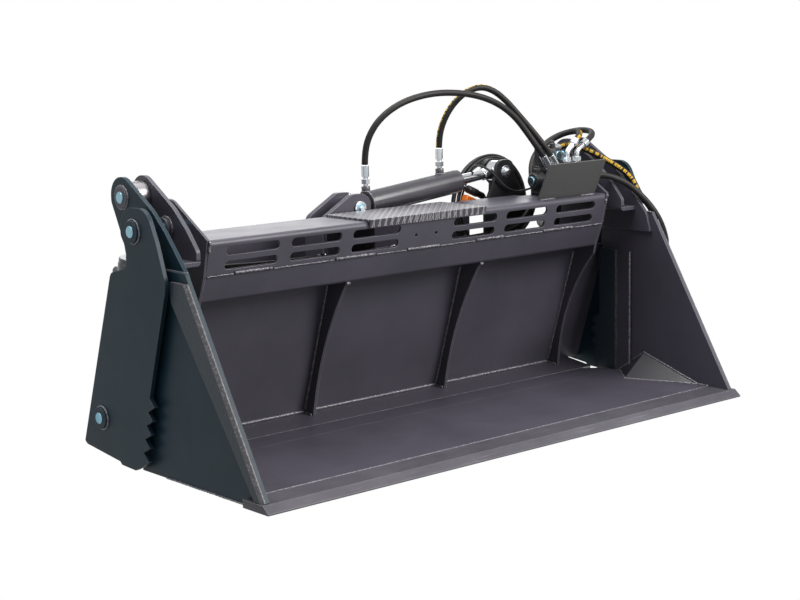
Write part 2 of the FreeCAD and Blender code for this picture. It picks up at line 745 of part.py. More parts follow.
def tilt_base_bracket():
    """Two lugs on the beam's rear edge that hold the tilt cylinder's base pin."""
    x, z = size("tilt_base_x"), size("tilt_base_z")
    outline = [(x - 142, 500), (x + 42, 500, 20), (x + 42, z + 44, 40), (x - 30, z + 44, 30), (x - 142, 622, 30)]
    members = []
    for name, (front, rear) in (("front", TILT_FRONT_LUG), ("rear", TILT_REAR_LUG)):
        body = pad_body(f"tilt_lug_{name}", "XZ_Plane", rounded(outline), f"{rear - front}")
        members.append(place(body, back=f"{rear} - tip_reach"))
    left = x - 142
    members.append(box("tilt_lug_web", (left, 630.5, 500), (x + 42, TILT_REAR_LUG[0], 512)))
    members.append(box("tilt_lug_side", (left, 630.5, 500), (left + 12, TILT_REAR_LUG[0], 600)))
    members.append(box("tilt_lug_foot", (left, 630.5, 512), (x + 42, TILT_FRONT_LUG[0], 618)))
    bore = rod_shape("tilt_lug_bore", "pin_r", 120, "y", (x, 640, z))
    node(cut("tilt_lugs_cut", fuse("tilt_lugs_joined", members), bore), "tilt_base_bracket")


def guard_plate():
    """Flat guard leaning forward from the beam's top, in front of the valve."""
    line = [(455.0, 631.2), (403.0, 745.0)]
    body = pad_body("guard_sheet", "YZ_Plane", rounded(strip(line[::-1], 4.0)), "259")
    node(place(body, across="486"), "guard_plate")


VALVE_LOW = (602.0, 512.0, 641.0)
VALVE_HIGH = (772.0, 590.0, 714.0)


def valve():
    """Valve block on two standoffs over the beam, with its solenoids and port fittings."""
    body = box("valve_body", VALVE_LOW, VALVE_HIGH)
    feet = [box(f"valve_foot_{i}", (x, 516, 631), (x + 18, 586, 641)) for i, x in enumerate((588, 742))]
    feet[0].Length = 22.0
    shelf = box("valve_shelf", (640, 590, 690), (712, 616, 714))
    upper = box("valve_upper", (640, 604, 714), (712, 622, 782))
    node(fuse("valve_joined", [body, shelf, upper] + feet), "valve_block")
    coils = []
    for i, (start, axis) in enumerate((((602, 548, 682), "-x"), ((681, 604, 756), "-y"))):
        profile = [(0, 0), (21, 0), (24, 3), (24, 44), (21, 47), (13, 47), (13, 54), (11.5, 56), (0, 56)]
        coils.append(turned(f"solenoid_{i}", profile, axis, start))
    group("solenoids", coils)


ELBOWS = ((714.0, 546.0, Vector(0.80, 0.10, 0.59)), (760.0, 546.0, Vector(0.88, 0.10, 0.46)))


def elbow_path(x, y, lean):
    """Corner points of a clam elbow: up out of the valve, then over to the right."""
    return [(x, y, 724.0), (x, y, 765.0), tuple(Vector(x, y, 765.0) + lean * 38.0)]


def valve_fittings():
    """Nuts and bent stems of the two elbows, and the straight fittings of the tilt and feed hoses."""
    members = []
    for i, (x, y, lean) in enumerate(ELBOWS):
        adapter = hexagon(f"elbow_adapter_{i}", 22.0, 13.0, "z", (x, y, 714.0))
        swivel = hexagon(f"elbow_nut_{i}", 24.0, 15.0, "z", (x, y, 733.0))
        route = [Vector(p[0], p[1] - size("tip_reach"), p[2]) for p in elbow_path(x, y, lean)]
        leg = (route[2] - route[1]).normalize()
        bend_start = route[1] - Vector(0, 0, 14)
        bend_end = route[1] + leg * 14
        half_turn = Vector(0, 0, 1).getAngle(leg) / 2.0
        bend_radius = 14 / math.tan(half_turn)
        inward = (leg - Vector(0, 0, 1)).normalize()
        middle = route[1] + inward * (bend_radius / math.cos(half_turn) - bend_radius)
        path = Part.Wire([
            Part.LineSegment(route[0] + Vector(0, 0, 3), bend_start).toShape(),
            Part.Arc(bend_start, middle, bend_end).toShape(),
            Part.LineSegment(bend_end, route[2]).toShape(),
        ])
        section = Part.Wire(Part.Circle(route[0] + Vector(0, 0, 3), Vector(0, 0, 1), 8.5).toShape())
        stem = DOC.addObject("Part::Feature", f"elbow_stem_{i}")
        stem.Shape = path.makePipeShell([section], True, False)
        stem.Placement = Placement()
        collar = rod_shape(f"elbow_collar_{i}", "12.5", 22, Vector(*leg), back_from(route[2], leg * 0))
        members.append(fuse(f"elbow_{i}", [adapter, swivel, stem, collar]))
        end = route[2] + leg * 22
        print(f"elbow {i} hose starts at {end.x:.1f} {end.y + size('tip_reach'):.1f} {end.z:.1f}")
    for name, start, axis in VALVE_PORTS:
        nut = hexagon(f"port_nut_{name}", 24.0, 14.0, axis, start)
        direction = ALONG[axis].multVec(Vector(0, 0, 1)) if isinstance(axis, str) else axis
        shifted = tuple(Vector(*start) + direction * 13.9)
        long = 44 if name.startswith("tilt") else 24
        ferrule = rod_shape(f"port_ferrule_{name}", "12", long, axis, shifted)
        members.append(fuse(f"port_{name}", [nut, ferrule]))
    for name, start, axis, leaves in SIDE_PORTS:
        nut = hexagon(f"side_nut_{name}", 24.0, 14.0, axis, start)
        outward = ALONG[axis].multVec(Vector(0, 0, 1))
        knee = Vector(*start) + outward * 25
        block = rod_shape(f"side_block_{name}", "13", 39, axis, start)
        ferrule = rod_shape(f"side_ferrule_{name}", "12", 40, leaves, tuple(knee))
        members.append(fuse(f"side_{name}", [nut, block, ferrule]))
        print(f"{name} hose starts at {tuple(round(v, 1) for v in knee + leaves.normalize() * 40)}")
    group("valve_fittings", members)


def back_from(point, step):
    """A point already in the model's frame, given back in the outlines' frame."""
    moved = point + step
    return (moved.x, moved.y + size("tip_reach"), moved.z)


TILT_HOSE_LEAN = Vector(-0.60, 0.0, 0.80)

VALVE_PORTS = [
    ("tilt_base", (620.0, 530.0, 715.0), TILT_HOSE_LEAN),
    ("tilt_rod", (654.0, 530.0, 715.0), TILT_HOSE_LEAN),
    ("right_low", (640.0, 556.0, 641.0), "-z"),
    ("right_high", (684.0, 556.0, 641.0), "-z"),
    ("feed_marked", (712.0, 615.0, 766.0), Vector(0.97, 0.0, 0.24)),
]
SIDE_PORTS = [
    ("feed_plain", (640.0, 512.0, 690.0), "-y", Vector(1, 0, 0)),
]


# ---------------------------------------------------------------- clam cylinders


def axis_between(low, high):
    direction = Vector(0, high[0] - low[0], high[1] - low[1])
    length = direction.Length
    return direction.normalize(), length


CYLINDER_X = 863.5
CLAM_BARREL_END = 452.0
CLAM_PORTS = (78.0, 396.0)


def clam_cylinders():
    """Barrel with a base eye, and rod with a piston and an eye on the crank pin, at each side."""
    base = (CYLINDER_X, size("base_y"), size("base_z"))
    crank = (size("crank_y"), size("crank_z"))
    direction, length = axis_between(base[1:], crank)
    outer, wall, rod = size("barrel_r"), size("barrel_wall"), size("rod_r")
    inner = outer - wall
    shell = [(0, 34), (outer, 34), (outer, 434), (outer - 2, 440), (outer - 2, CLAM_BARREL_END - 2)]
    shell += [(outer - 4, CLAM_BARREL_END), (rod + 0.4, CLAM_BARREL_END), (rod + 0.4, 418), (inner, 418), (inner, 54)]
    shell += [(0, 54)]
    tube_body = turned("clam_barrel_tube", shell, direction, base)
    eye_width = 52.0
    eye_start = CYLINDER_X - eye_width / 2
    eye = rod_shape("clam_base_eye", "eye_r + 8", eye_width, "x", (eye_start, *base[1:]))
    bore = rod_shape("clam_base_bore", "pin_r + running_fit", 80, "x", (CYLINDER_X - 40, *base[1:]))
    rearward = Vector(0, direction.z, -direction.y)
    members = [tube_body, eye]
    for i, (along, leaves) in enumerate(zip(CLAM_PORTS, (direction, Vector(-1, 0, 0)))):
        foot = Vector(*base) + direction * along + rearward * (outer - 3)
        knee = foot + rearward * 29
        members.append(rod_shape(f"clam_port_{i}", "13", 17, rearward, tuple(foot)))
        members.append(rod_shape(f"clam_elbow_{i}", "12", 43, rearward, tuple(foot)))
        members.append(rod_shape(f"clam_ferrule_{i}", "11", 40, leaves, tuple(knee)))
        end = knee + leaves * 40
        print(f"clam hose ends at {end.x:.1f} {end.y:.1f} {end.z:.1f}")
    both_sides(cut("clam_barrel_cut", fuse("clam_barrel_joined", members), bore), "clam_barrel")
    piston = [(0, 296), (rod, 296), (inner - 0.3, 296), (inner - 0.3, 336), (rod, 336), (rod, length - 27)]
    piston += [(0, length - 27)]
    shaft = turned("clam_rod_shaft", piston, direction, base)
    rod_eye = rod_shape("clam_rod_eye", "eye_r + 10", eye_width, "x", (eye_start, *crank))
    rod_bore = rod_shape("clam_rod_bore", "pin_r + open_pivot_gap", 80, "x", (CYLINDER_X - 40, *crank))
    both_sides(cut("clam_rod_cut", fuse("clam_rod_joined", [shaft, rod_eye]), rod_bore), "clam_rod")
    print(f"clam cylinder: direction {tuple(round(v, 5) for v in direction)}, pin to pin {length:.2f}")


# ---------------------------------------------------------------- tilt cylinder


def tilt_axis():
    direction = Vector(size("tilt_rod_x") - size("tilt_base_x"), 0, size("tilt_rod_z") - size("tilt_base_z"))
    length = direction.Length
    return direction.normalize(), length


TILT_BARREL = (62.0, 442.0)
TILT_PORTS = (66.0, 372.0)


def tilt_cylinder():
    direction, length = tilt_axis()
    y = size("tilt_plane_y")
    base = (size("tilt_base_x"), y, size("tilt_base_z"))
    outer, wall, rod = size("barrel_r"), size("barrel_wall"), size("rod_r")
    inner = outer - wall
    start, end = TILT_BARREL
    shell = [(0, start), (outer - 2, start), (outer, start + 2), (outer, end - 14), (outer - 1.5, end - 12.5)]
    shell += [(outer - 1.5, end - 2), (outer - 3.5, end), (rod + 0.4, end), (rod + 0.4, end - 42)]
    shell += [(inner, end - 42), (inner, start + 22), (0, start + 22)]
    barrel = turned("tilt_barrel_tube", shell, direction, base)
    neck = rod_shape("tilt_base_neck", "24", start, direction, base)
    eye = rod_shape("tilt_base_eye", "eye_r", 44, "y", (base[0], y - 22, base[2]))
    bore = rod_shape("tilt_base_bore", "pin_r + running_fit", 80, "y", (base[0], y - 40, base[2]))
    upward = Vector(-direction.z, 0, direction.x)
    ports = []
    for i, along in enumerate(TILT_PORTS):
        foot = Vector(*base) + direction * along + upward * (outer - 8)
        ports.append(rod_shape(f"tilt_port_{i}", "12.5", 24, upward, tuple(foot)))
    node(cut("tilt_barrel_cut", fuse("tilt_barrel_joined", [barrel, neck, eye] + ports), bore), "tilt_barrel")
    shaft = [(0, 250), (inner - 0.3, 250), (inner - 0.3, 290), (rod, 290), (rod, 552), (20, 556), (20, length - 26)]
    shaft += [(0, length - 26)]
    shaft_body = turned("tilt_rod_shaft", shaft, direction, base)
    tip = (size("tilt_rod_x"), y - 22, size("tilt_rod_z"))
    rod_eye = rod_shape("tilt_rod_eye", "eye_r + 3", 44, "y", tip)
    rod_bore = rod_shape("tilt_rod_bore", "pin_r + tilt_eye_gap", 80, "y", (tip[0], y - 40, tip[2]))
    node(cut("tilt_rod_cut", fuse("tilt_rod_joined", [shaft_body, rod_eye]), rod_bore), "tilt_rod")
    print(f"tilt cylinder: direction {tuple(round(v, 5) for v in direction)}, pin to pin {length:.2f}")
    fittings = []
    for i, along in enumerate(TILT_PORTS):
        foot = Vector(*base) + direction * along + upward * (outer + 16)
        top = (foot.x, foot.y, foot.z)
        stem = rod_shape(f"tilt_stem_{i}", "8", 12, "z", top)
        nut = hexagon(f"tilt_nut_{i}", 24.0, 15.0, "z", (top[0], top[1], top[2] + 6))
        neck_piece = rod_shape(f"tilt_neck_{i}", "8.5", 14, "z", (top[0], top[1], top[2] + 18))
        ferrule = rod_shape(f"tilt_ferrule_{i}", "12", 34, "z", (top[0], top[1], top[2] + 28))
        print(f"tilt hose {i} starts at {top[0]:.1f} {top[1]:.1f} {top[2] + 62:.1f}")
        fittings.append(fuse(f"tilt_fitting_{i}", [stem, nut, neck_piece, ferrule]))
    group("tilt_fittings", fittings)


# ---------------------------------------------------------------- hitch

HITCH_FACE = 862.0
ARM_FRONT = (652.0, 664.0)
ARM_REAR = (716.0, 728.0)


def hitch_plate():
    """Universal quick-attach plate: hooked top edge, slotted bottom lip, side stiffeners and the pivot hub."""
    half = size("hitch_half_width")
    line = [(912, 547), (HITCH_FACE, 592, 4), (HITCH_FACE, 150, 4), (926, 150)]
    sheet = full_width_body("hitch_sheet", strip(line, size("hitch_t")), "hitch_half_width")
    side = [(HITCH_FACE + 8, 158), (924, 158), (900, 300, 60), (900, 548), (HITCH_FACE + 8, 580)]
    sides = []
    for sign in (-1, 1):
        body = pad_body(f"hitch_side_{sign + 1}", "YZ_Plane", rounded(side), "hitch_t")
        sides.append(place(body, across=f"{sign} * ( hitch_half_width - 5 ) - 5"))
    hub = rod_shape("hitch_hub", "95", HITCH_FACE + 10 - HOUSING_REAR - 0.5, "y", (0, HOUSING_REAR + 0.5, size("tilt_z")))
    joined = fuse("hitch_joined", [sheet, hub] + sides)
    tools = [rod_shape("hub_bore", "pivot_pin_r + running_fit", 90, "y", (0, HOUSING_REAR - 5, size("tilt_z")))]
    width, length = size("lock_slot_width"), size("lock_slot_length")
    for i, sign in enumerate((-1, 1)):
        middle = sign * size("lock_slot_spacing") / 2
        corners = [(middle - length / 2, 885), (middle + length / 2, 885)]
        corners += [(middle + length / 2, 885 + width), (middle - length / 2, 885 + width)]
        slot = pad_body(f"lock_slot_{i}", "XY_Plane", rounded([(x, y, width / 2 - 0.02) for x, y in corners]), "40")
        tools.append(place(slot, up="130"))
    print(f"lock slots reach {half - size('lock_slot_spacing') / 2 - length / 2:.1f} mm inside the plate's ends")
    node(cut("hitch_cut", joined, fuse("hitch_tools", tools)), "hitch_plate")


def tilt_arm():
    """Upright clevis on the hitch that holds the tilt cylinder's rod pin, with a peg for the cable coil."""
    x, z = size("tilt_rod_x"), size("tilt_rod_z")
    crown = [(x - 38, z + 38, 30), (x + 38, z + 38, 30), (x + 40, z - 8, 60)]
    flanks = {
        "front": [(x - 90, 372, 10), (x - 90, z - 108, 60), (x - 40, z - 8, 60)],
        "rear": [(x + 10, 372, 4), (x + 10, z - 54, 20), (x - 38, z - 8, 20)],
    }
    members = []
    for name, (front, rear) in (("front", ARM_FRONT), ("rear", ARM_REAR)):
        outline = flanks[name] + crown + [(x + 90, z - 108, 60), (x + 90, 372, 10)]
        body = pad_body(f"arm_plate_{name}", "XZ_Plane", rounded(outline), f"{rear - front}")
        members.append(place(body, back=f"{rear} - tip_reach"))
    members.append(box("arm_web", (x + 20, ARM_REAR[0], 330), (x + 40, HITCH_FACE, 412)))
    members.append(box("arm_web_upper", (x + 20, ARM_FRONT[0], 372), (x + 40, ARM_REAR[1], 652)))
    peg_z = COIL_CENTRE[2] + size("coil_radius") - size("coil_section_r") - 8.3
    members.append(rod_shape("coil_peg", "8", 58, "y", (COIL_CENTRE[0], ARM_REAR[0], peg_z)))
    bore = rod_shape("arm_bore", "pin_r", 120, "y", (x, ARM_FRONT[0] - 10, z))
    node(cut("arm_cut", fuse("arm_joined", members), bore), "tilt_arm")
    profile = [(0, 0), (11, 0), (13, 2), (13, 7), (19, 7), (20, 8), (20, 11), (16, 11), (16, 97), (14, 99), (0, 99)]
    node(turned("rod_pin_shaft", profile, "y", (x, ARM_FRONT[0] - 11, z)), "tilt_rod_pin")


COIL_CENTRE = (565.0, 758.0, 590.0)


def cable_pieces():
    """The electric cable's coil on its peg, and the round capped plug that hangs inside it."""
    coil = DOC.addObject("Part::Torus", "coil_ring")
    bind(coil, "Radius1", "coil_radius")
    bind(coil, "Radius2", "coil_section_r")
    centre = Vector(COIL_CENTRE[0], COIL_CENTRE[1] - size("tip_reach"), COIL_CENTRE[2])
    coil.Placement = Placement(centre, ALONG["y"])
    node(coil, "cable_coil")
    along = Vector(0.92, 0.0, -0.392)
    profile = [(0, 0), (9, 0), (9, 14), (13, 16), (13, 60), (11, 63), (11, 88), (7, 98), (0, 98)]
    shell = turned("plug_shell", profile, along, (420.0, 723.5, 661.0))
    cap = box("plug_cap", (0, 0, 0), (82, 26, 40))
    cap.Placement = Placement(Vector(422.0, 710.5 - size("tip_reach"), 603.0), Rotation(Vector(0, 1, 0), 23.1))
    node(fuse("plug_joined", [shell, cap]), "cable_plug")


# ---------------------------------------------------------------- hoses

# The corner points of each hose's route, from its first fitting to its last; y is measured from the tip.
ROUTES = {
    "tilt_hose_base": [
        (-23.0, 690, 767.2), (-24, 687, 803), (-18, 677, 849), (6, 664, 894), (48, 651, 930), (102, 640, 955),
        (160, 629, 969), (220, 619, 975), (281, 609, 973), (342, 599, 965), (401, 588, 949), (456, 577, 922),
        (503, 566, 884), (537, 551, 836), (566, 533, 787), (585.2, 530, 761.4),
    ],
    "tilt_hose_rod": [
        (282.2, 690, 799.6), (281, 687, 833), (286, 676, 876), (302, 662, 918), (330, 648, 954),
        (368, 635, 979), (412, 623, 986), (454, 611, 970), (491, 598, 938), (524, 583, 898), (556, 568, 858),
        (581, 549, 820), (600, 533, 787), (619.2, 530, 761.4),
    ],
    "feed_hose_plain": [
        (680, 487, 690), (716, 486, 691), (752, 481, 691), (784, 470, 689), (812, 453, 684), (839, 437, 673),
        (862, 423, 659), (882, 408, 641), (898, 392, 620), (913, 376, 597), (928, 362, 571), (943, 352, 542),
        (957, 347, 512), (973, 350, 483), (989, 358, 460), (994, 364.5, 437.6),
    ],
    "feed_hose_marked": [
        (748.9, 615, 775.1), (772, 614.5, 780.8), (794, 603, 781), (809, 581, 774), (816, 554, 764), (828, 529, 753),
        (848, 511, 738), (868, 494, 722), (886, 473, 705), (899, 451, 686), (908, 434, 665), (914, 423, 641),
        (918, 412, 619), (927, 401, 600), (938, 390, 581), (948, 380, 557), (952, 372, 528), (952, 368, 495),
        (952, 366, 465), (952, 365, 437.6),
    ],
    "clam_hose_left_a": [
        (762, 552, 800), (780, 554.5, 813), (797, 567, 821), (806, 590, 825), (801, 616, 822), (783, 639, 814),
        (757, 653, 801), (728, 660, 784), (701, 659, 764), (679, 652, 741), (662, 642, 715), (651, 632, 687),
        (643, 624, 657), (633, 618, 627), (617, 612, 599), (595, 608, 574), (567, 604, 554), (534, 600, 539),
        (496, 597, 529), (450, 594, 523), (394, 592, 519), (310, 589, 517), (170, 586, 516), (0, 585, 515),
        (-170, 586, 516), (-310, 588, 517), (-420, 592, 518), (-510, 602, 519), (-582, 622, 520),
        (-638, 650, 521), (-684, 682, 522), (-727, 714, 524), (-773, 743, 526), (-820.3, 752.5, 527.1),
    ],
    "clam_hose_left_b": [
        (813, 552, 793), (834, 554.5, 804), (856, 565, 813), (873, 586, 820), (881, 613, 823), (877, 642, 823),
        (860, 668, 818), (835, 688, 808), (806, 701, 794), (776, 709, 778), (747, 711, 759), (721, 706, 737),
        (701, 696, 712), (687, 682, 685), (677, 666, 657), (666, 650, 629), (650, 636, 602), (629, 623, 576),
        (602, 613, 551), (571, 606, 528), (536, 602, 510), (496, 599, 498), (450, 597, 491), (396, 595, 488),
        (330, 594, 487), (200, 593, 487), (60, 592, 486),
        (-100, 592, 486), (-260, 594, 486), (-390, 600, 486), (-490, 614, 483), (-565, 636, 478),
        (-626, 664, 470), (-681, 697, 459), (-733, 729, 442), (-781, 757, 416), (-822, 779, 381),
        (-849, 792, 338), (-861, 796, 293), (-863.5, 794.5, 256.2),
    ],
    "clam_hose_right_a": [
        (640, 556, 603), (641, 559, 570), (651, 570, 538), (672, 591, 514), (699, 620, 503), (724, 654, 503),
        (744, 690, 509), (764, 723, 517), (789, 746, 524), (820.3, 752.5, 527.1),
    ],
    "clam_hose_right_b": [
        (684, 556, 603), (685, 561, 567), (694, 577, 531), (711, 602, 500), (733, 634, 476), (756, 670, 457),
        (779, 707, 439), (803, 742, 415), (826, 771, 382), (846, 790, 342), (859, 798, 298),
        (863.5, 794.5, 256.2),
    ],
    "cable_lead": [
        (451, 734, 696), (441, 714, 714), (435, 697, 726), (432, 677, 733), (436, 659, 732), (448, 647, 724),
        (465, 642, 711), (483, 641, 695), (503, 641, 677), (523, 640.5, 661), (546, 639.5, 648),
        (573, 636, 641), (600, 629, 643), (622, 617, 650), (636, 603, 660), (640, 590.3, 668),
    ],
}


def hoses():
    for label, route in ROUTES.items():
        radius = "cable_r" if label == "cable_lead" else "hose_r"
        tube(label, route, size(radius), tight=4.0)


# ---------------------------------------------------------------- build and write


def build():
    fill_sheet()
    cutting_edge()
    floor_plates()
    skid_bars()
    side_plates()
    side_cutters()
    bite_plates()
    corner_gussets()
    outer_arms()
    inner_arms()
    arm_bosses()
    crank_pins()
    hose_parking()
    cheeks()
    cheek_bosses()
    frame_pins()
    back_plate()
    rear_blade()
    header_panel()
    header_lower_bar()
    grip_strip()
    ribs()
    end_plates()
    cylinder_lugs()
    back_stiffeners()
    pivot_housing()
    pivot_pin()
    tilt_base_bracket()
    guard_plate()
    valve()
    valve_fittings()
    clam_cylinders()
    tilt_cylinder()
    hitch_plate()
    tilt_arm()
    cable_pieces()
    hoses()
    DOC.recompute()


def check_and_write():
    """Stops at any failed feature or bad shape, then writes one STEP file for each sub-part."""
    for thing in DOC.Objects:
        bad = [state for state in thing.State if state in ("Invalid", "Error")]
        if bad:
            raise RuntimeError(f"{thing.Name} is {bad} {thing.getStatusString()}")
    labels = [thing.Label for thing in NODES]
    if len(set(labels)) != len(labels) or len(labels) > 60:
        raise RuntimeError(f"{len(labels)} sub-parts, {len(set(labels))} names")
    os.makedirs("parts", exist_ok=True)
    for thing in NODES:
        shape = thing.Shape
        if shape.isNull() or not shape.isValid() or not shape.Solids:
            raise RuntimeError(f"{thing.Label} has a bad shape")
        shape.exportStep(f"parts/{thing.Label}.step")
        low, high = shape.BoundBox, shape.BoundBox
        print(
            f"{thing.Label:22s} solids {len(shape.Solids):2d} volume {shape.Volume / 1000:9.1f} cm3"
            f"  x {low.XMin:7.1f} {high.XMax:7.1f}  y {low.YMin:7.1f} {high.YMax:7.1f}  z {low.ZMin:6.1f} {high.ZMax:6.1f}"
        )
    print(f"{len(NODES)} sub-parts")


build()
check_and_write()
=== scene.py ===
"""Looks for the clamshell bucket: materials on the CAD nodes, weld beads, hoses, cable, fittings and studio.

Places are in millimetres in the frame of the side outlines, whose y is measured from the cutting edge's tip.
"""

import json
import math
import random

import bmesh
import bpy
from mathutils import Matrix, Vector

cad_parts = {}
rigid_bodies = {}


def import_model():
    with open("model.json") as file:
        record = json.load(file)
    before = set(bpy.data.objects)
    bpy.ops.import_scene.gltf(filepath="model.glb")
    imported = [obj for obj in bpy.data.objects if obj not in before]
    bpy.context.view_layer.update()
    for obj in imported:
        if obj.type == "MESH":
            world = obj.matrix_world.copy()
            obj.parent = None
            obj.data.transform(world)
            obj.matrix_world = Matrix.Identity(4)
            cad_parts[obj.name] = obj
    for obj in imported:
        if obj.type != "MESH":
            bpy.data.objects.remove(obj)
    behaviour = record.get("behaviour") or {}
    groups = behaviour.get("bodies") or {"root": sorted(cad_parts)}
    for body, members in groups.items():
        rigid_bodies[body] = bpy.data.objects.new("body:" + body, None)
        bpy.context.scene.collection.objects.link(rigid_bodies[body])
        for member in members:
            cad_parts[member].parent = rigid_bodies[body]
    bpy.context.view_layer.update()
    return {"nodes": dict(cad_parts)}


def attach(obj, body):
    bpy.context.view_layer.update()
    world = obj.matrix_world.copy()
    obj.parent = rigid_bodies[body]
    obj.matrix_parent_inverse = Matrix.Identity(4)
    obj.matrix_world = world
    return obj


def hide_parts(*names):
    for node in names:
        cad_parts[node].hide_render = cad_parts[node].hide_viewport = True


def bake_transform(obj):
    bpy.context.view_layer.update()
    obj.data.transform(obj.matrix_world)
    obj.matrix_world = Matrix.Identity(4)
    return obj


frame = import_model()
NODES = frame["nodes"]
RND = random.Random(7)
TIP_REACH = 546.0
HINGE_PIN = (546, 662)
BARREL_BASE_PIN = (749, 126)
CRANK_PIN = (655, 742)


def at(x, y, z):
    """A point in millimetres of the outlines' frame, as a vector in metres of the row frame."""
    return Vector((x / 1000.0, (y - TIP_REACH) / 1000.0, z / 1000.0))


# ---------------------------------------------------------------- materials


class Nodes:
    """A new material with its Principled shader, and short ways to add and join nodes."""

    def __init__(self, name):
        self.material = bpy.data.materials.new(name)
        self.material.use_nodes = True
        self.tree = self.material.node_tree
        self.shader = self.tree.nodes["Principled BSDF"]

    def add(self, kind, **settings):
        made = self.tree.nodes.new(kind)
        for key, value in settings.items():
            setattr(made, key, value)
        return made

    def join(self, out, into):
        self.tree.links.new(out, into)

    def noise(self, scale, detail=3.0, rough=0.5, vector=None):
        noise = self.add("ShaderNodeTexNoise")
        noise.inputs["Scale"].default_value = scale
        noise.inputs["Detail"].default_value = detail
        noise.inputs["Roughness"].default_value = rough
        self.join(vector or self.objects(), noise.inputs["Vector"])
        return noise.outputs["Fac"]

    def objects(self):
        if not hasattr(self, "_objects"):
            self._objects = self.add("ShaderNodeTexCoord").outputs["Object"]
        return self._objects

    def ramp(self, value, stops):
        """A colour ramp over a value; a stop's colour is three numbers, or one for grey."""
        ramp = self.add("ShaderNodeValToRGB")
        elements = ramp.color_ramp.elements
        while len(elements) < len(stops):
            elements.new(0.5)
        for element, (place, colour) in zip(elements, stops):
            element.position = place
            element.color = (*colour, 1.0) if len(colour) == 3 else (colour[0],) * 3 + (1.0,)
        self.join(value, ramp.inputs["Fac"])
        return ramp.outputs["Color"]

    def math(self, operation, a, b=None, clamp=False):
        """A maths node whose inputs are numbers or sockets."""
        made = self.add("ShaderNodeMath", operation=operation, use_clamp=clamp)
        for socket, value in zip(made.inputs, (a, b)):
            if value is None:
                continue
            if isinstance(value, (int, float)):
                socket.default_value = value
            else:
                self.join(value, socket)
        return made.outputs[0]

    def mix(self, factor, a, b):
        """A colour mix whose inputs are numbers, colours or sockets."""
        made = self.add("ShaderNodeMix", data_type="RGBA")
        for socket, value in zip((made.inputs[0], made.inputs[6], made.inputs[7]), (factor, a, b)):
            if isinstance(value, (int, float)):
                socket.default_value = value
            elif isinstance(value, tuple):
                socket.default_value = (*value, 1.0)
            else:
                self.join(value, socket)
        return made.outputs[2]

    def edges(self, radius):
        """A mask that is near 1 on sharp edges: where a rounded normal differs from the true one."""
        bevel = self.add("ShaderNodeBevel", samples=6)
        bevel.inputs["Radius"].default_value = radius
        geometry = self.add("ShaderNodeNewGeometry")
        dot = self.add("ShaderNodeVectorMath", operation="DOT_PRODUCT")
        self.join(bevel.outputs["Normal"], dot.inputs[0])
        self.join(geometry.outputs["True Normal"], dot.inputs[1])
        return bevel, self.math("MULTIPLY", self.math("SUBTRACT", 1.0, dot.outputs["Value"]), 6.0, clamp=True)

    def bump(self, height, strength, distance, normal=None):
        bump = self.add("ShaderNodeBump")
        bump.inputs["Strength"].default_value = strength
        bump.inputs["Distance"].default_value = distance
        self.join(height, bump.inputs["Height"])
        if normal is not None:
            self.join(normal, bump.inputs["Normal"])
        self.join(bump.outputs["Normal"], self.shader.inputs["Normal"])
        return bump


def painted(name, colour, edge, roughness=0.4, grain=0.35, wear=0.75, coat=0.0, shine=0.5):
    """Powder coat: uneven colour, faint orange peel, and rounded edges lightened, partly as thin worn paint and
    partly as a painted highlight.
    """
    n = Nodes(name)
    dark = tuple(c * 0.82 for c in colour)
    light = tuple(min(1.0, c * 1.2) for c in colour)
    base = n.ramp(n.noise(3.1, 5.0, 0.6), [(0.3, dark), (0.7, light)])
    fine = n.noise(240.0, 2.0)
    bevel, mask = n.edges(0.0022)
    chips = n.ramp(n.noise(26.0, 6.0, 0.7), [(0.38, (0.35,)), (0.62, (1.0,))])
    # Edge lightening in chips: partly worn paint, partly a painted highlight along the rounded edges.
    worn = n.math("MULTIPLY", n.math("MULTIPLY", mask, chips), wear)
    n.join(n.mix(worn, base, edge), n.shader.inputs["Base Color"])
    rough = n.math("MULTIPLY_ADD", n.noise(14.0, 4.0), 0.16)
    rough.node.inputs[2].default_value = roughness - 0.08
    n.join(rough, n.shader.inputs["Roughness"])
    n.bump(fine, grain, 0.0004, bevel.outputs["Normal"])
    n.shader.inputs["Coat Weight"].default_value = coat
    n.shader.inputs["Specular IOR Level"].default_value = shine
    n.shader.inputs["Coat Roughness"].default_value = 0.25
    return n.material


def worn_steel():
    """Painted wear bars with scuffs along their length."""
    n = Nodes("worn_steel")
    base = n.ramp(n.noise(5.0, 6.0, 0.7), [(0.3, (0.045, 0.042, 0.052)), (0.7, (0.085, 0.08, 0.095))])
    stretched = n.add("ShaderNodeMapping")
    stretched.inputs["Scale"].default_value = (3.0, 90.0, 90.0)
    n.join(n.objects(), stretched.inputs["Vector"])
    scuffs = n.ramp(n.noise(2.0, 6.0, 0.75, stretched.outputs[0]), [(0.56, (0.0,)), (0.7, (1.0,))])
    bevel, mask = n.edges(0.003)
    worn = n.math("MAXIMUM", n.math("MULTIPLY", mask, 0.8), n.math("MULTIPLY", scuffs, 0.3))
    n.join(n.mix(worn, base, (0.33, 0.32, 0.35)), n.shader.inputs["Base Color"])
    n.shader.inputs["Roughness"].default_value = 0.42
    n.bump(n.noise(160.0, 4.0, 0.7), 0.45, 0.0008, bevel.outputs["Normal"])
    return n.material


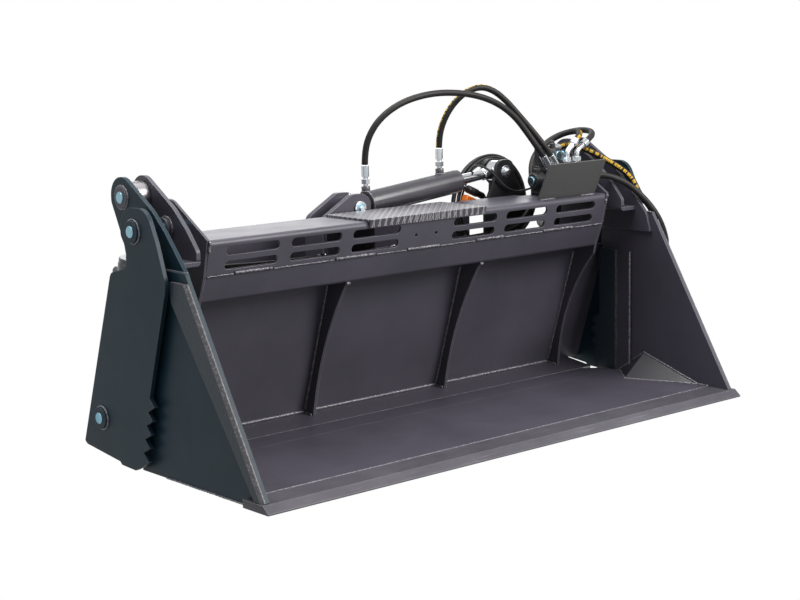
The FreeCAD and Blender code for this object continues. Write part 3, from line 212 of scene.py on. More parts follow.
def hard_faced(name, axis, limit, light, plate):
    """Paint on the faces square to one axis, and a rough, knurled cut edge on the others."""
    n = Nodes(name)
    cells = n.add("ShaderNodeTexVoronoi")
    cells.inputs["Scale"].default_value = 130.0
    n.join(n.objects(), cells.inputs["Vector"])
    speckle = n.ramp(cells.outputs["Distance"], [(0.15, light), (0.55, tuple(c * 0.46 for c in light))])
    geometry = n.add("ShaderNodeNewGeometry")
    split = n.add("ShaderNodeSeparateXYZ")
    n.join(geometry.outputs["True Normal"], split.inputs[0])
    flat = n.math("GREATER_THAN", n.math("ABSOLUTE", split.outputs[axis]), limit)
    n.join(n.mix(flat, speckle, plate), n.shader.inputs["Base Color"])
    n.shader.inputs["Roughness"].default_value = 0.45
    n.bump(cells.outputs["Distance"], 0.6, 0.0012)
    return n.material


def metal(name, colour, roughness, grain=0.15, scale=300.0, tint=None):
    """Plated or polished steel with fine uneven polish, and an optional second tint in patches."""
    n = Nodes(name)
    second = tint or tuple(c * 0.8 for c in colour)
    base = n.ramp(n.noise(9.0, 5.0, 0.6), [(0.35, colour), (0.65, second)])
    n.join(base, n.shader.inputs["Base Color"])
    n.shader.inputs["Metallic"].default_value = 1.0
    rough = n.math("MULTIPLY_ADD", n.noise(40.0, 4.0), 0.18)
    rough.node.inputs[2].default_value = max(0.02, roughness - 0.09)
    n.join(rough, n.shader.inputs["Roughness"])
    bevel, _ = n.edges(0.0012)
    n.bump(n.noise(scale, 2.0), grain, 0.0003, bevel.outputs["Normal"])
    return n.material


def welded():
    """Weld bead under thin paint: lighter than the plate, crusty and glossy."""
    n = Nodes("weld_bead")
    base = n.ramp(n.noise(120.0, 4.0, 0.7), [(0.35, (0.07, 0.068, 0.08)), (0.66, (0.3, 0.29, 0.32))])
    n.join(base, n.shader.inputs["Base Color"])
    n.shader.inputs["Metallic"].default_value = 0.25
    n.shader.inputs["Roughness"].default_value = 0.3
    n.bump(n.noise(420.0, 3.0), 0.7, 0.0008)
    return n.material


def rubber(name, colour, marks=0.0, place=0.3):
    """Hose cover with faint wrap marks; marks above 0 prints a broken yellow line along it."""
    n = Nodes(name)
    dark, light = tuple(c * 0.75 for c in colour), tuple(c * 1.35 for c in colour)
    base = n.ramp(n.noise(30.0, 4.0), [(0.3, dark), (0.7, light)])
    uv = n.add("ShaderNodeUVMap").outputs["UV"]
    split = n.add("ShaderNodeSeparateXYZ")
    n.join(uv, split.inputs[0])
    along, around = split.outputs["X"], split.outputs["Y"]
    wrap = n.math("SINE", n.math("ADD", n.math("MULTIPLY", along, 1500.0), n.math("MULTIPLY", around, 6.283)))
    if marks > 0:
        line = n.math("LESS_THAN", n.math("ABSOLUTE", n.math("SUBTRACT", around, place)), 0.085)
        blocks = n.add("ShaderNodeTexNoise", noise_dimensions="1D")
        blocks.inputs["Detail"].default_value = 1.0
        n.join(n.math("MULTIPLY", along, 260.0), blocks.inputs["W"])
        stretches = n.add("ShaderNodeTexNoise", noise_dimensions="1D")
        n.join(n.math("MULTIPLY", along, 22.0), stretches.inputs["W"])
        dash = n.math("MULTIPLY", n.math("GREATER_THAN", blocks.outputs["Fac"], 0.47),
                      n.math("GREATER_THAN", stretches.outputs["Fac"], 0.46))
        printed = n.math("MULTIPLY", n.math("MULTIPLY", line, dash), marks)
        base = n.mix(printed, base, (0.75, 0.45, 0.02))
    n.join(base, n.shader.inputs["Base Color"])
    n.shader.inputs["Roughness"].default_value = 0.48
    n.shader.inputs["Specular IOR Level"].default_value = 0.28
    n.bump(wrap, 0.12, 0.0004)
    return n.material


def moulded(name, colour, roughness=0.4):
    """Plastic with a slightly uneven colour and rounded edges."""
    n = Nodes(name)
    base = n.ramp(n.noise(12.0, 3.0), [(0.3, tuple(c * 0.88 for c in colour)), (0.7, colour)])
    n.join(base, n.shader.inputs["Base Color"])
    n.shader.inputs["Roughness"].default_value = roughness
    bevel, _ = n.edges(0.0015)
    n.bump(n.noise(500.0, 2.0), 0.2, 0.0003, bevel.outputs["Normal"])
    return n.material


def tread_paint():
    """Painted tread plate: raised bars in two directions, worn light on their tops."""
    n = Nodes("tread_paint")
    bars = []
    for turn in (0.785, -0.785):
        mapping = n.add("ShaderNodeMapping")
        mapping.inputs["Rotation"].default_value = (0.0, 0.0, turn)
        n.join(n.objects(), mapping.inputs["Vector"])
        brick = n.add("ShaderNodeTexBrick", offset=0.5)
        brick.inputs["Scale"].default_value = 26.0
        brick.inputs["Mortar Size"].default_value = 0.035
        brick.inputs["Brick Width"].default_value = 0.9
        brick.inputs["Row Height"].default_value = 0.42
        n.join(mapping.outputs[0], brick.inputs["Vector"])
        bars.append(brick.outputs["Fac"])
    height = n.math("MAXIMUM", *bars)
    base = n.mix(height, (0.06, 0.057, 0.068), (0.3, 0.29, 0.31))
    n.join(base, n.shader.inputs["Base Color"])
    n.shader.inputs["Roughness"].default_value = 0.38
    n.bump(height, 0.8, 0.002)
    return n.material


PAINT_COLOUR = (0.060, 0.055, 0.073)
# Colour on rounded edges: partly worn paint, partly a painted highlight.
EDGE_WEAR_AND_HIGHLIGHT = (0.42, 0.41, 0.44)
M = {
    "paint": painted("charcoal_paint", PAINT_COLOUR, EDGE_WEAR_AND_HIGHLIGHT),
    "shaded": painted("charcoal_shaded", (0.022, 0.021, 0.027), EDGE_WEAR_AND_HIGHLIGHT, wear=0.6),
    # A darker, bluer copy of the charcoal paint for the outer sides: painted shade and a painted sky reflection.
    "painted_shade_side": painted("charcoal_painted_shade", (0.008, 0.024, 0.036), EDGE_WEAR_AND_HIGHLIGHT, 0.4, wear=0.4, shine=0.24),
    "gloss": painted("charcoal_gloss", (0.05, 0.047, 0.056), EDGE_WEAR_AND_HIGHLIGHT, 0.22, grain=0.08, coat=0.6),
    "black": painted("black_paint", (0.012, 0.012, 0.014), (0.1, 0.1, 0.11), 0.34, wear=0.5),
    "guard": painted("guard_paint", (0.06, 0.06, 0.059), (0.25, 0.25, 0.25), 0.55, grain=0.6, wear=0.4),
    "wear": worn_steel(),
    # The side cutters' flat faces take the same darker, bluer tone as the outer sides: painted shade and a painted
    # sky reflection.
    "hard": hard_faced("hard_faced", "X", 0.97, (0.15, 0.145, 0.16), (0.016, 0.026, 0.036)),
    # The pale colour on the rear blade's bevel is partly a hard-facing weld and partly a painted highlight.
    "blade": hard_faced("blade_bevel", "Z", 0.96, (0.5, 0.49, 0.52), (0.06, 0.055, 0.073)),
    "tread": tread_paint(),
    "weld": welded(),
    "zinc": metal("zinc_blue", (0.36, 0.57, 0.66), 0.36, tint=(0.2, 0.42, 0.54)),
    "bright": metal("bright_fitting", (0.8, 0.82, 0.84), 0.22, tint=(0.62, 0.66, 0.7)),
    "eye": metal("rod_eye", (0.36, 0.35, 0.36), 0.36, tint=(0.22, 0.21, 0.22)),
    "chrome": metal("chrome", (0.86, 0.86, 0.88), 0.1, grain=0.03),
    "hose": rubber("hose_cover", (0.014, 0.0125, 0.012)),
    "marked": rubber("hose_marked", (0.012, 0.011, 0.011), marks=1.0, place=0.3),
    "cable": rubber("cable_sheath", (0.03, 0.03, 0.031)),
    "orange": moulded("orange_cap", (0.85, 0.2, 0.015)),
    "plastic": moulded("black_plastic", (0.02, 0.02, 0.021)),
    "tape": moulded("green_tape", (0.01, 0.24, 0.11), 0.5),
}


def dress(names, material):
    """Puts one material in every slot of each named CAD node."""
    for name in names:
        node = NODES[name]
        if not node.material_slots:
            node.data.materials.append(None)
        for slot in node.material_slots:
            slot.material = M[material]


dress(NODES, "paint")
# The cheeks, left side plate, left outer arm and bosses get the copy with painted shade and a painted sky
# reflection.
dress(["cheek_left", "cheek_right", "side_plate_left", "outer_arm_left", "cheek_bosses"], "painted_shade_side")
dress(["tilt_barrel", "clam_barrel_left", "clam_barrel_right"], "gloss")
dress(["tilt_arm", "valve_block", "solenoids", "coupler_bracket"], "black")
dress(["corner_gussets"], "shaded")
dress(["guard_plate"], "guard")
dress(["cutting_edge", "skid_bars"], "wear")
dress(["rear_blade"], "blade")
dress(["side_cutters", "bite_plates"], "hard")
dress(["grip_strip"], "tread")
dress(["hinge_pins", "base_pins", "crank_pins", "pivot_pin"], "zinc")
dress(["valve_fittings", "tilt_fittings", "feed_couplers", "tilt_rod_pin"], "bright")
dress(["clam_rod_left", "clam_rod_right"], "eye")
dress(["tilt_rod"], "chrome")

# ---------------------------------------------------------------- mesh helpers


def new_piece(name, mesh, material, body=None, smooth=True):
    """Puts a mesh in the scene with its material and slot, riding on a body if one is named."""
    mesh.materials.append(M[material])
    if smooth:
        mesh.shade_smooth()
    piece = bpy.data.objects.new(name, mesh)
    bpy.context.scene.collection.objects.link(piece)
    if body:
        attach(piece, body)
    return piece


def frames_along(points):
    """A direction and two side vectors at each point of a line, carried along without twist."""
    side = None
    result = []
    for i, point in enumerate(points):
        ahead = (points[min(i + 1, len(points) - 1)] - points[max(i - 1, 0)]).normalized()
        if side is None:
            side = ahead.orthogonal().normalized()
        side = (side - ahead * side.dot(ahead)).normalized()
        result.append((point, ahead, side, ahead.cross(side)))
    return result


def tube_mesh(name, points, radius, sides=16):
    """A tube along a line, with metres along it as its first UV coordinate. radius may be a function."""
    mesh = bpy.data.meshes.new(name)
    verts, faces, travelled = [], [], [0.0]
    rings = frames_along(points)
    for i, (centre, _, u, v) in enumerate(rings):
        if i:
            travelled.append(travelled[-1] + (centre - rings[i - 1][0]).length)
        r = radius(travelled[-1]) if callable(radius) else radius
        for k in range(sides):
            angle = math.tau * k / sides
            verts.append(centre + u * (r * math.cos(angle)) + v * (r * math.sin(angle)))
    for i in range(len(rings) - 1):
        for k in range(sides):
            a, b = i * sides + k, i * sides + (k + 1) % sides
            faces.append((a, b, b + sides, a + sides))
    faces.append(tuple(range(sides))[::-1])
    faces.append(tuple(range(len(verts) - sides, len(verts))))
    mesh.from_pydata(verts, [], faces)
    uv = mesh.uv_layers.new(name="UVMap").data
    for i in range(len(rings) - 1):
        for k in range(sides):
            loop = 4 * (i * sides + k)
            corners = ((i, k), (i, k + 1), (i + 1, k + 1), (i + 1, k))
            for j, (a, b) in enumerate(corners):
                uv[loop + j].uv = (travelled[a], b / sides)
    return mesh


def spline_line(route, resolution=10):
    """The smooth line of an order-3 NURBS spline whose control points are the route."""
    curve = bpy.data.curves.new("route", "CURVE")
    curve.dimensions = "3D"
    spline = curve.splines.new("NURBS")
    spline.points.add(len(route) - 1)
    for point, place in zip(spline.points, route):
        point.co = (*place, 1.0)
    spline.order_u = 3
    spline.use_endpoint_u = True
    spline.resolution_u = resolution
    holder = bpy.data.objects.new("route", curve)
    bpy.context.scene.collection.objects.link(holder)
    bpy.context.view_layer.update()
    line = bpy.data.meshes.new_from_object(holder.evaluated_get(bpy.context.evaluated_depsgraph_get()))
    points = [v.co.copy() for v in line.vertices]
    bpy.data.objects.remove(holder)
    kept = points[:1]
    for point in points[1:]:
        if (point - kept[-1]).length > 1e-5:
            kept.append(point)
    return kept


def turned_mesh(name, profile, start, axis, flats=0):
    """A turned piece from (radius, distance along the axis) pairs; flats makes it a prism instead."""
    axis = Vector(axis).normalized()
    u = axis.orthogonal().normalized()
    v = axis.cross(u)
    count = flats or 32
    mesh = bmesh.new()
    rings = []
    for radius, along in profile:
        ring = []
        for k in range(count):
            angle = math.tau * k / count
            outward = u * math.cos(angle) + v * math.sin(angle)
            ring.append(mesh.verts.new(start + axis * along + outward * radius))
        rings.append(ring)
    for low, high in zip(rings, rings[1:]):
        for k in range(count):
            mesh.faces.new((low[k], low[(k + 1) % count], high[(k + 1) % count], high[k]))
    mesh.faces.new(rings[0][::-1])
    mesh.faces.new(rings[-1])
    data = bpy.data.meshes.new(name)
    mesh.to_mesh(data)
    mesh.free()
    return data


def sharpen(piece, degrees=35.0):
    """Keeps creases of more than the given angle crisp on a smooth-shaded piece."""
    mesh = bmesh.new()
    mesh.from_mesh(piece.data)
    for edge in mesh.edges:
        if len(edge.link_faces) == 2 and edge.calc_face_angle(0.0) > math.radians(degrees):
            edge.smooth = False
    mesh.to_mesh(piece.data)
    mesh.free()


def turned(name, profile, start, axis, material, body, slot="zinc", **options):
    """A turned piece in millimetres of the outlines' frame, riding on a body."""
    mesh = turned_mesh(name, [(r / 1000.0, a / 1000.0) for r, a in profile], at(*start), axis, **options)
    piece = new_piece(name, mesh, material, body)
    sharpen(piece)
    return piece


def resampled(points, step):
    """The same line with points about a step apart."""
    points = [Vector(p) for p in points]
    out = [points[0]]
    for a, b in zip(points, points[1:]):
        count = max(1, round((b - a).length / step))
        out += [a.lerp(b, k / count) for k in range(1, count + 1)]
    return out


def weld(name, route, body, width=8.0, step=2.4, wander=0.5):
    """A ripple-laid weld bead along a route in millimetres of the outlines' frame."""
    line = []
    for point in resampled([at(*p) for p in route], step / 1000.0):
        shake = Vector((RND.uniform(-1, 1), RND.uniform(-1, 1), RND.uniform(-1, 1)))
        line.append(point + shake * (wander / 1000.0))
    swell = [0.8 + 0.3 * abs(math.sin(i * 1.15)) + RND.uniform(-0.08, 0.08) for i in range(len(line))]
    radii = iter([width / 2000.0 * share for share in swell])
    new_piece(name, tube_mesh(name, line, lambda _: next(radii), sides=7), "weld", body)


def ring_points(centre, radius, normal="x", count=40):
    """Points of a closed circle square to one of the three axes."""
    points = []
    for k in range(count + 1):
        angle = math.tau * k / count
        c, s = radius * math.cos(angle), radius * math.sin(angle)
        offset = {"x": (0, c, s), "y": (c, 0, s), "z": (c, s, 0)}[normal]
        points.append(tuple(a + b for a, b in zip(centre, offset)))
    return points


FORWARD = (0, -1, 0)

# ---------------------------------------------------------------- hoses and cable

ROUTES = {
    "tilt_hose_base": [
        (-23.0, 690, 767.2), (-24, 687, 803), (-18, 677, 849), (6, 664, 894), (48, 651, 930), (102, 640, 955),
        (160, 629, 969), (220, 619, 975), (281, 609, 973), (342, 599, 965), (401, 588, 949), (456, 577, 922),
        (503, 566, 884), (537, 551, 836), (566, 533, 787), (585.2, 530, 761.4),
    ],
    "tilt_hose_rod": [
        (282.2, 690, 799.6), (281, 687, 833), (286, 676, 876), (302, 662, 918), (330, 648, 954),
        (368, 635, 979), (412, 623, 986), (454, 611, 970), (491, 598, 938), (524, 583, 898), (556, 568, 858),
        (581, 549, 820), (600, 533, 787), (619.2, 530, 761.4),
    ],
    "feed_hose_plain": [
        (680, 487, 690), (716, 486, 691), (752, 481, 691), (784, 470, 689), (812, 453, 684), (839, 437, 673),
        (862, 423, 659), (882, 408, 641), (898, 392, 620), (913, 376, 597), (928, 362, 571), (943, 352, 542),
        (957, 347, 512), (973, 350, 483), (989, 358, 460), (994, 364.5, 437.6),
    ],
    "feed_hose_marked": [
        (748.9, 615, 775.1), (772, 614.5, 780.8), (794, 603, 781), (809, 581, 774), (816, 554, 764), (828, 529, 753),
        (848, 511, 738), (868, 494, 722), (886, 473, 705), (899, 451, 686), (908, 434, 665), (914, 423, 641),
        (918, 412, 619), (927, 401, 600), (938, 390, 581), (948, 380, 557), (952, 372, 528), (952, 368, 495),
        (952, 366, 465), (952, 365, 437.6),
    ],
    "clam_hose_left_a": [
        (762, 552, 800), (780, 554.5, 813), (797, 567, 821), (806, 590, 825), (801, 616, 822), (783, 639, 814),
        (757, 653, 801), (728, 660, 784), (701, 659, 764), (679, 652, 741), (662, 642, 715), (651, 632, 687),
        (643, 624, 657), (633, 618, 627), (617, 612, 599), (595, 608, 574), (567, 604, 554), (534, 600, 539),
        (496, 597, 529), (450, 594, 523), (394, 592, 519), (310, 589, 517), (170, 586, 516), (0, 585, 515),
        (-170, 586, 516), (-310, 588, 517), (-420, 592, 518), (-510, 602, 519), (-582, 622, 520),
        (-638, 650, 521), (-684, 682, 522), (-727, 714, 524), (-773, 743, 526), (-820.3, 752.5, 527.1),
    ],
    "clam_hose_left_b": [
        (813, 552, 793), (834, 554.5, 804), (856, 565, 813), (873, 586, 820), (881, 613, 823), (877, 642, 823),
        (860, 668, 818), (835, 688, 808), (806, 701, 794), (776, 709, 778), (747, 711, 759), (721, 706, 737),
        (701, 696, 712), (687, 682, 685), (677, 666, 657), (666, 650, 629), (650, 636, 602), (629, 623, 576),
        (602, 613, 551), (571, 606, 528), (536, 602, 510), (496, 599, 498), (450, 597, 491), (396, 595, 488),
        (330, 594, 487), (200, 593, 487), (60, 592, 486),
        (-100, 592, 486), (-260, 594, 486), (-390, 600, 486), (-490, 614, 483), (-565, 636, 478),
        (-626, 664, 470), (-681, 697, 459), (-733, 729, 442), (-781, 757, 416), (-822, 779, 381),
        (-849, 792, 338), (-861, 796, 293), (-863.5, 794.5, 256.2),
    ],
    "clam_hose_right_a": [
        (640, 556, 603), (641, 559, 570), (651, 570, 538), (672, 591, 514), (699, 620, 503), (724, 654, 503),
        (744, 690, 509), (764, 723, 517), (789, 746, 524), (820.3, 752.5, 527.1),
    ],
    "clam_hose_right_b": [
        (684, 556, 603), (685, 561, 567), (694, 577, 531), (711, 602, 500), (733, 634, 476), (756, 670, 457),
        (779, 707, 439), (803, 742, 415), (826, 771, 382), (846, 790, 342), (859, 798, 298),
        (863.5, 794.5, 256.2),
    ],
    "cable_lead": [
        (451, 734, 696), (441, 714, 714), (435, 697, 726), (432, 677, 733), (436, 659, 732), (448, 647, 724),
        (465, 642, 711), (483, 641, 695), (503, 641, 677), (523, 640.5, 661), (546, 639.5, 648),
        (573, 636, 641), (600, 629, 643), (622, 617, 650), (636, 603, 660), (640, 590.3, 668),
    ],
}
# For each hose: its material, the bodies of its two ends, and where the bend between them starts and ends.
HOSES = {
    "tilt_hose_base": ("hose", "frame", "tilt_cylinder", (0.52, 0.0, 0.9), (0.0, 0.0, 0.8)),
    "tilt_hose_rod": ("marked", "frame", "tilt_cylinder", (0.58, 0.0, 0.83), (0.30, 0.0, 0.83)),
    "feed_hose_plain": ("hose", "frame", "clam", (0.80, 0.0, 0.70), (0.96, 0.0, 0.60)),
    "feed_hose_marked": ("marked", "frame", "clam", (0.80, 0.0, 0.77), (0.94, 0.0, 0.62)),
    "clam_hose_left_a": ("marked", "frame", "barrel_left", (-0.60, 0.0, 0.52), (-0.80, 0.0, 0.52)),
    "clam_hose_left_b": ("hose", "frame", "barrel_left", (-0.60, 0.0, 0.45), (-0.84, 0.0, 0.45)),
    "clam_hose_right_a": ("hose", "frame", "barrel_right", (0.68, 0.0, 0.5), (0.81, 0.0, 0.5)),
    "clam_hose_right_b": ("hose", "frame", "barrel_right", (0.70, 0.0, 0.5), (0.85, 0.0, 0.4)),
}
HOSE_R = 0.010
CABLE_R = 0.0035


def make_hoses():
    """Smooth hose covers in place of the CAD tubes."""
    for name, (material, near, far, start, end) in HOSES.items():
        line = spline_line([at(*p) for p in ROUTES[name]])
        mesh = tube_mesh(name + "_cover", line, HOSE_R, sides=20)
        piece = new_piece(name + "_cover", mesh, material, None)
        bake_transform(piece)
        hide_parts(name)


COIL_CENTRE = (565, 758, 590)
# Radius and depth in metres at the start of each turn, so that the turns cross like a cable wound by hand.
COIL_TURNS = [
    (0.141, -0.012), (0.150, -0.006), (0.143, 0.002), (0.152, 0.009), (0.160, 0.003), (0.168, -0.004),
    (0.160, -0.012), (0.153, -0.014), (0.166, 0.006), (0.158, 0.013), (0.149, 0.014),
]


def coil_points(turns=9.8, per_turn=18):
    """Loose turns round the coil's ring, each a little different, from the lead's end to the plug."""
    centre = at(*COIL_CENTRE)
    points = []
    first = math.radians(140.0)
    for k in range(1, round(turns * per_turn)):
        turn = k / per_turn
        low = int(turn)
        share = turn - low
        share = share * share * (3 - 2 * share)
        (r0, d0), (r1, d1) = COIL_TURNS[low], COIL_TURNS[low + 1]
        radius, depth = r0 + (r1 - r0) * share, d0 + (d1 - d0) * share
        angle = first + math.tau * turn
        points.append(centre + Vector((radius * math.cos(angle), depth, radius * math.sin(angle))))
    return points


CABLE_TAIL = [
    (596, 757, 714), (572, 752, 698), (556, 745, 672), (547, 738, 644), (541, 731, 621), (532, 725, 613),
    (511, 723.5, 622.3),
]


def make_cable():
    """One cable: the lead from the valve, the coil's turns and the short tail into the plug."""
    lead = [at(*p) for p in ROUTES["cable_lead"]][::-1]
    route = lead[:-1] + coil_points() + [at(*p) for p in CABLE_TAIL]
    line = spline_line(route, 6)
    piece = new_piece("cable", tube_mesh("cable", line, CABLE_R, sides=10), "cable", None)
    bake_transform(piece)
    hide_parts("cable_lead", "cable_coil")
    make_plug()


PLUG_PROFILE = [
    (7, 0), (9, 1), (9, 14), (12, 15), (13, 17), (13, 30), (12.2, 31), (12.2, 34), (13, 35), (13, 59),
    (11, 62), (11, 74), (10, 75), (10, 78), (11, 79), (11, 86), (7, 96),
]
CAP_SIZE = (0.080, 0.024, 0.038)
CAP_LEAN = 23.1


def plug_cap():
    """The orange flip cap: a rounded shell with a sunken front face."""
    mesh = bmesh.new()
    bmesh.ops.create_cube(mesh, size=1.0)
    for vert in mesh.verts:
        vert.co = Vector([c * size for c, size in zip(vert.co, CAP_SIZE)])
    bmesh.ops.bevel(mesh, geom=mesh.edges[:], offset=0.006, segments=3, affect="EDGES", profile=0.5)
    face = [f for f in mesh.faces if f.normal.y < -0.99 and f.calc_area() > 0.0005]
    bmesh.ops.inset_region(mesh, faces=face, thickness=0.004, depth=-0.0025)
    turn = Matrix.Rotation(math.radians(CAP_LEAN), 4, "Y")
    mesh.transform(Matrix.Translation(at(452.0, 723.5, 605.5)) @ turn)
    data = bpy.data.meshes.new("plug_cap")
    mesh.to_mesh(data)
    mesh.free()
    cap = new_piece("plug_cap", data, "orange", "hitch")
    sharpen(cap, 50.0)
    return cap


def make_plug():
    """Round trailer plug with its orange flip cap, in place of the plain CAD solid."""
    axis = Vector((0.92, 0.0, -0.392))
    start = (420.0, 723.5, 661.0)
    body = turned("plug_body", PLUG_PROFILE, start, axis, "plastic", "hitch", "plug_plastic")
    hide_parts("cable_plug")
    tip = turned("plug_contact", [(7.4, 0), (8, 1), (8, 9), (7, 10), (5, 10.5)], (411.5, 723.5, 664.6), axis,
                 "bright", "hitch", flats=6)
    cap = plug_cap()
    hinge = turned("plug_cap_hinge", [(3.4, 0), (4, 0.6), (4, 21.4), (3.4, 22)], (496.0, 734.5, 603.0),
                   FORWARD, "orange", "hitch", "plug_plastic")
    return [body, cap, hinge, tip]


# ---------------------------------------------------------------- welds and hardware

HEADER_TOP = (427.0, 631.0)
HEADER_FOOT = (454.5, 532.0)
BACK_TOP = (574.5, 441.0)
BACK_FOOT = (702.0, 37.6)
STITCHES = [
    (-776, -690), (-684, -560), (-553, -340), (-334, -190), (-184, -70), (-64, 60), (66, 210), (216, 330),
    (336, 500), (506, 640), (646, 776),
]
END_PLATE_X = 777.5
RIB_X = (-266, 266)
STIFFENER_X = (-415, -140, 140, 415)


def back_front(z):
    """How far back the back plate's front face lies at a height."""
    return BACK_FOOT[0] + (BACK_TOP[0] - BACK_FOOT[0]) / (BACK_TOP[1] - BACK_FOOT[1]) * (z - BACK_FOOT[1])


def weld_beam_and_back():
    """The beam's stitched seam, and the ribs, end plates, back plate and grip strip."""
    y, z = HEADER_FOOT
    for i, (low, high) in enumerate(STITCHES):
        lift = 1.2 if i % 2 else -0.8
        seam = [(low, y - 2, z + lift), (high, y - 2, z + lift)]
        weld(f"weld_beam_{i}", seam, "frame", 8.5 if i % 2 else 4.0, wander=0.9)
    for i, x in enumerate(RIB_X):
        for side in (-1, 1):
            face = x + side * 5
            seam = [(face, back_front(436) - 1, 436), (face, back_front(44) - 1, 44)]
            weld(f"weld_rib_{i}_{side + 1}", seam, "frame", 8.0)
        weld(f"weld_rib_top_{i}", [(x - 6, 485, 452), (x + 6, 485, 452)], "frame", 9.0)
        weld(f"weld_rib_foot_{i}", [(x - 7, 664, 34), (x - 7, 694, 37)], "frame", 9.0)
    for side in (-1, 1):
        x = side * END_PLATE_X
        weld(f"weld_end_{side + 1}", [(x, HEADER_TOP[0], 629), (x, 435, 600)], "frame", 8.0, wander=1.2)
        weld(f"weld_end_back_{side + 1}", [(x, back_front(430), 430), (x, back_front(46), 46)], "frame", 8.0)
        weld(f"weld_end_foot_{side + 1}", [(side * 776, 660, 33), (side * 776, 700, 38)], "frame", 7.0)
    for i, (low, high) in enumerate([(-772, -274), (-258, 258), (274, 772)]):
        seam = [(low, back_front(42) - 1, 40), (high, back_front(42) - 1, 40)]
        weld(f"weld_back_foot_{i}", seam, "frame", 9.0)
    for i, low in enumerate((-226, -136, -40, 60, 150)):
        weld(f"weld_grip_{i}", [(low, 430.5, 615.5), (low + 62, 430.5, 615.5)], "frame", 6.0)
        weld(f"weld_grip_rear_{i}", [(low, 627.5, 634), (low + 62, 627.5, 634)], "frame", 6.0)
    weld("weld_guard", [(492, 454, 631), (560, 454, 631)], "frame", 6.0)
    weld("weld_guard_right", [(680, 454, 631), (742, 454, 631)], "frame", 6.0)


def weld_side(side, tag):
    """Everything welded on one side: gusset, bite plate, side plate's foot, arms and bosses."""
    apex, inboard = (side * 902, 377, 96), (side * 807, 377, 22)
    front, rear = (side * 902, 148, 23), (side * 902, 485, 23)
    seams = {"a": [apex, front], "b": [inboard, front], "c": [apex, rear], "d": [inboard, rear]}
    for letter, seam in seams.items():
        weld(f"weld_gusset_{tag}_{letter}", seam, "clam", 6.0)
    weld(f"weld_floor_side_{tag}", [(side * 902, 108, 23), (side * 902, 148, 23)], "clam", 6.0)
    weld(f"weld_bite_{tag}", [(side * 891, 431, 24), (side * 891, 431, 428)], "clam", 7.0)
    weld(f"weld_side_foot_{tag}", [(side * 916, 112, 3), (side * 916, 470, 3)], "clam", 5.0)
    weld(f"weld_arm_{tag}", [(side * 903.5, 352, 566), (side * 903.5, 560, 566)], "clam", 5.0)
    for name, place in (("hinge", HINGE_PIN), ("base", BARREL_BASE_PIN)):
        weld(f"weld_{name}_boss_{tag}", ring_points((side * 941.5, *place), 32), "frame", 6.5)
    weld(f"weld_crank_boss_{tag}", ring_points((side * 903.5, *CRANK_PIN), 32), "clam", 6.5)
    weld(f"weld_crank_inner_{tag}", ring_points((side * 823.5, *CRANK_PIN), 30), "clam", 7.0)
    weld(f"weld_hinge_inner_{tag}", ring_points((side * 836.5, *HINGE_PIN), 30), "clam", 7.0)


def make_welds():
    weld_beam_and_back()
    weld_side(-1, "left")
    weld_side(1, "right")
    weld("weld_edge_floor", [(-902, 107, 22.5), (902, 107, 22.5)], "clam", 3.0)
    for i, x in enumerate((TILT_BASE[0] - 142, TILT_BASE[0] + 42)):
        weld(f"weld_tilt_lug_{i}", [(x, 645, 512), (x, 645, 616)], "frame", 7.0)
    for i, x in enumerate(STIFFENER_X):
        for side in (-5, 5):
            seam = [(x + side, back_front(60) + 9, 60), (x + side, back_front(425) + 9, 425)]
            weld(f"weld_stiffener_{i}_{side + 5}", seam, "frame", 7.0)
    weld("weld_housing", ring_points((0, 755, 320), 96, "y", 60), "frame", 8.0)
    weld("weld_hub", ring_points((0, 861, 320), 96, "y", 60), "hitch", 8.0)


TILT_DIRECTION = Vector((0.99435, 0.0, 0.10619))
TILT_BASE = (-82.0, 690.0, 642.0)


BOLT = [(9.2, 0), (9.8, 0.6), (9.8, 5.4), (8.6, 6.4)]
COIL_NUT = [(13.5, 0), (14, 0.5), (14, 7.5), (12.5, 8.6)]


def along_tilt(distance, lift=0.0):
    """A point in the outlines' frame on the tilt cylinder's axis, lifted square to it."""
    x, _, z = TILT_DIRECTION
    return (TILT_BASE[0] + x * distance - z * lift, TILT_BASE[1], TILT_BASE[2] + z * distance + x * lift)


def make_tilt_details():
    """The tilt cylinder's end weld, port bosses, wiper, grease nipple, and the hardware on its two pins."""
    axis = TILT_DIRECTION
    upward = Vector((-axis.z, 0, axis.x))
    across = Vector((0, 1, 0))
    cap = []
    for k in range(49):
        angle = math.tau * k / 48
        p = at(*along_tilt(64.0)) + (across * math.cos(angle) + axis.cross(across) * math.sin(angle)) * 0.0375
        cap.append((p.x * 1000, p.y * 1000 + TIP_REACH, p.z * 1000))
    weld("weld_tilt_cap", cap, "tilt_cylinder", 5.0)
    for i, distance in enumerate((66.0, 372.0)):
        foot = along_tilt(distance, 36.5)
        weld(f"weld_tilt_port_{i}", ring_points(foot, 13.5, "z", 24), "tilt_cylinder", 4.5)
        turned(f"tilt_port_boss_{i}", [(13.4, 0), (13.4, 15), (12.6, 16.5)], foot, upward, "gloss",
               "tilt_cylinder", "black_paint")
    turned("tilt_wiper", [(18.5, 0), (22, 0.5), (22, 3), (19, 5)], along_tilt(442.0), axis, "plastic",
           "tilt_cylinder", "plug_plastic")
    x, _, z = TILT_BASE
    turned("tilt_pin_washer", [(12, 0), (21, 0.4), (22, 1.4), (22, 4.6), (21, 5.6), (10, 6)], (x, 645.8, z),
           FORWARD, "bright", "frame")
    turned("tilt_pin_bolt", BOLT, (x, 638.2, z), FORWARD, "bright", "frame", flats=6)
    turned("rod_pin_bolt", BOLT, (536.0, 641.0, 708.0), FORWARD, "bright", "hitch", flats=6)
    turned("grease_nipple_tilt", [(4.5, 0), (4.5, 3), (2.6, 4), (2.6, 8), (3.4, 10), (1.5, 12)],
           along_tilt(0, 30.0), upward, "bright", "tilt_cylinder")


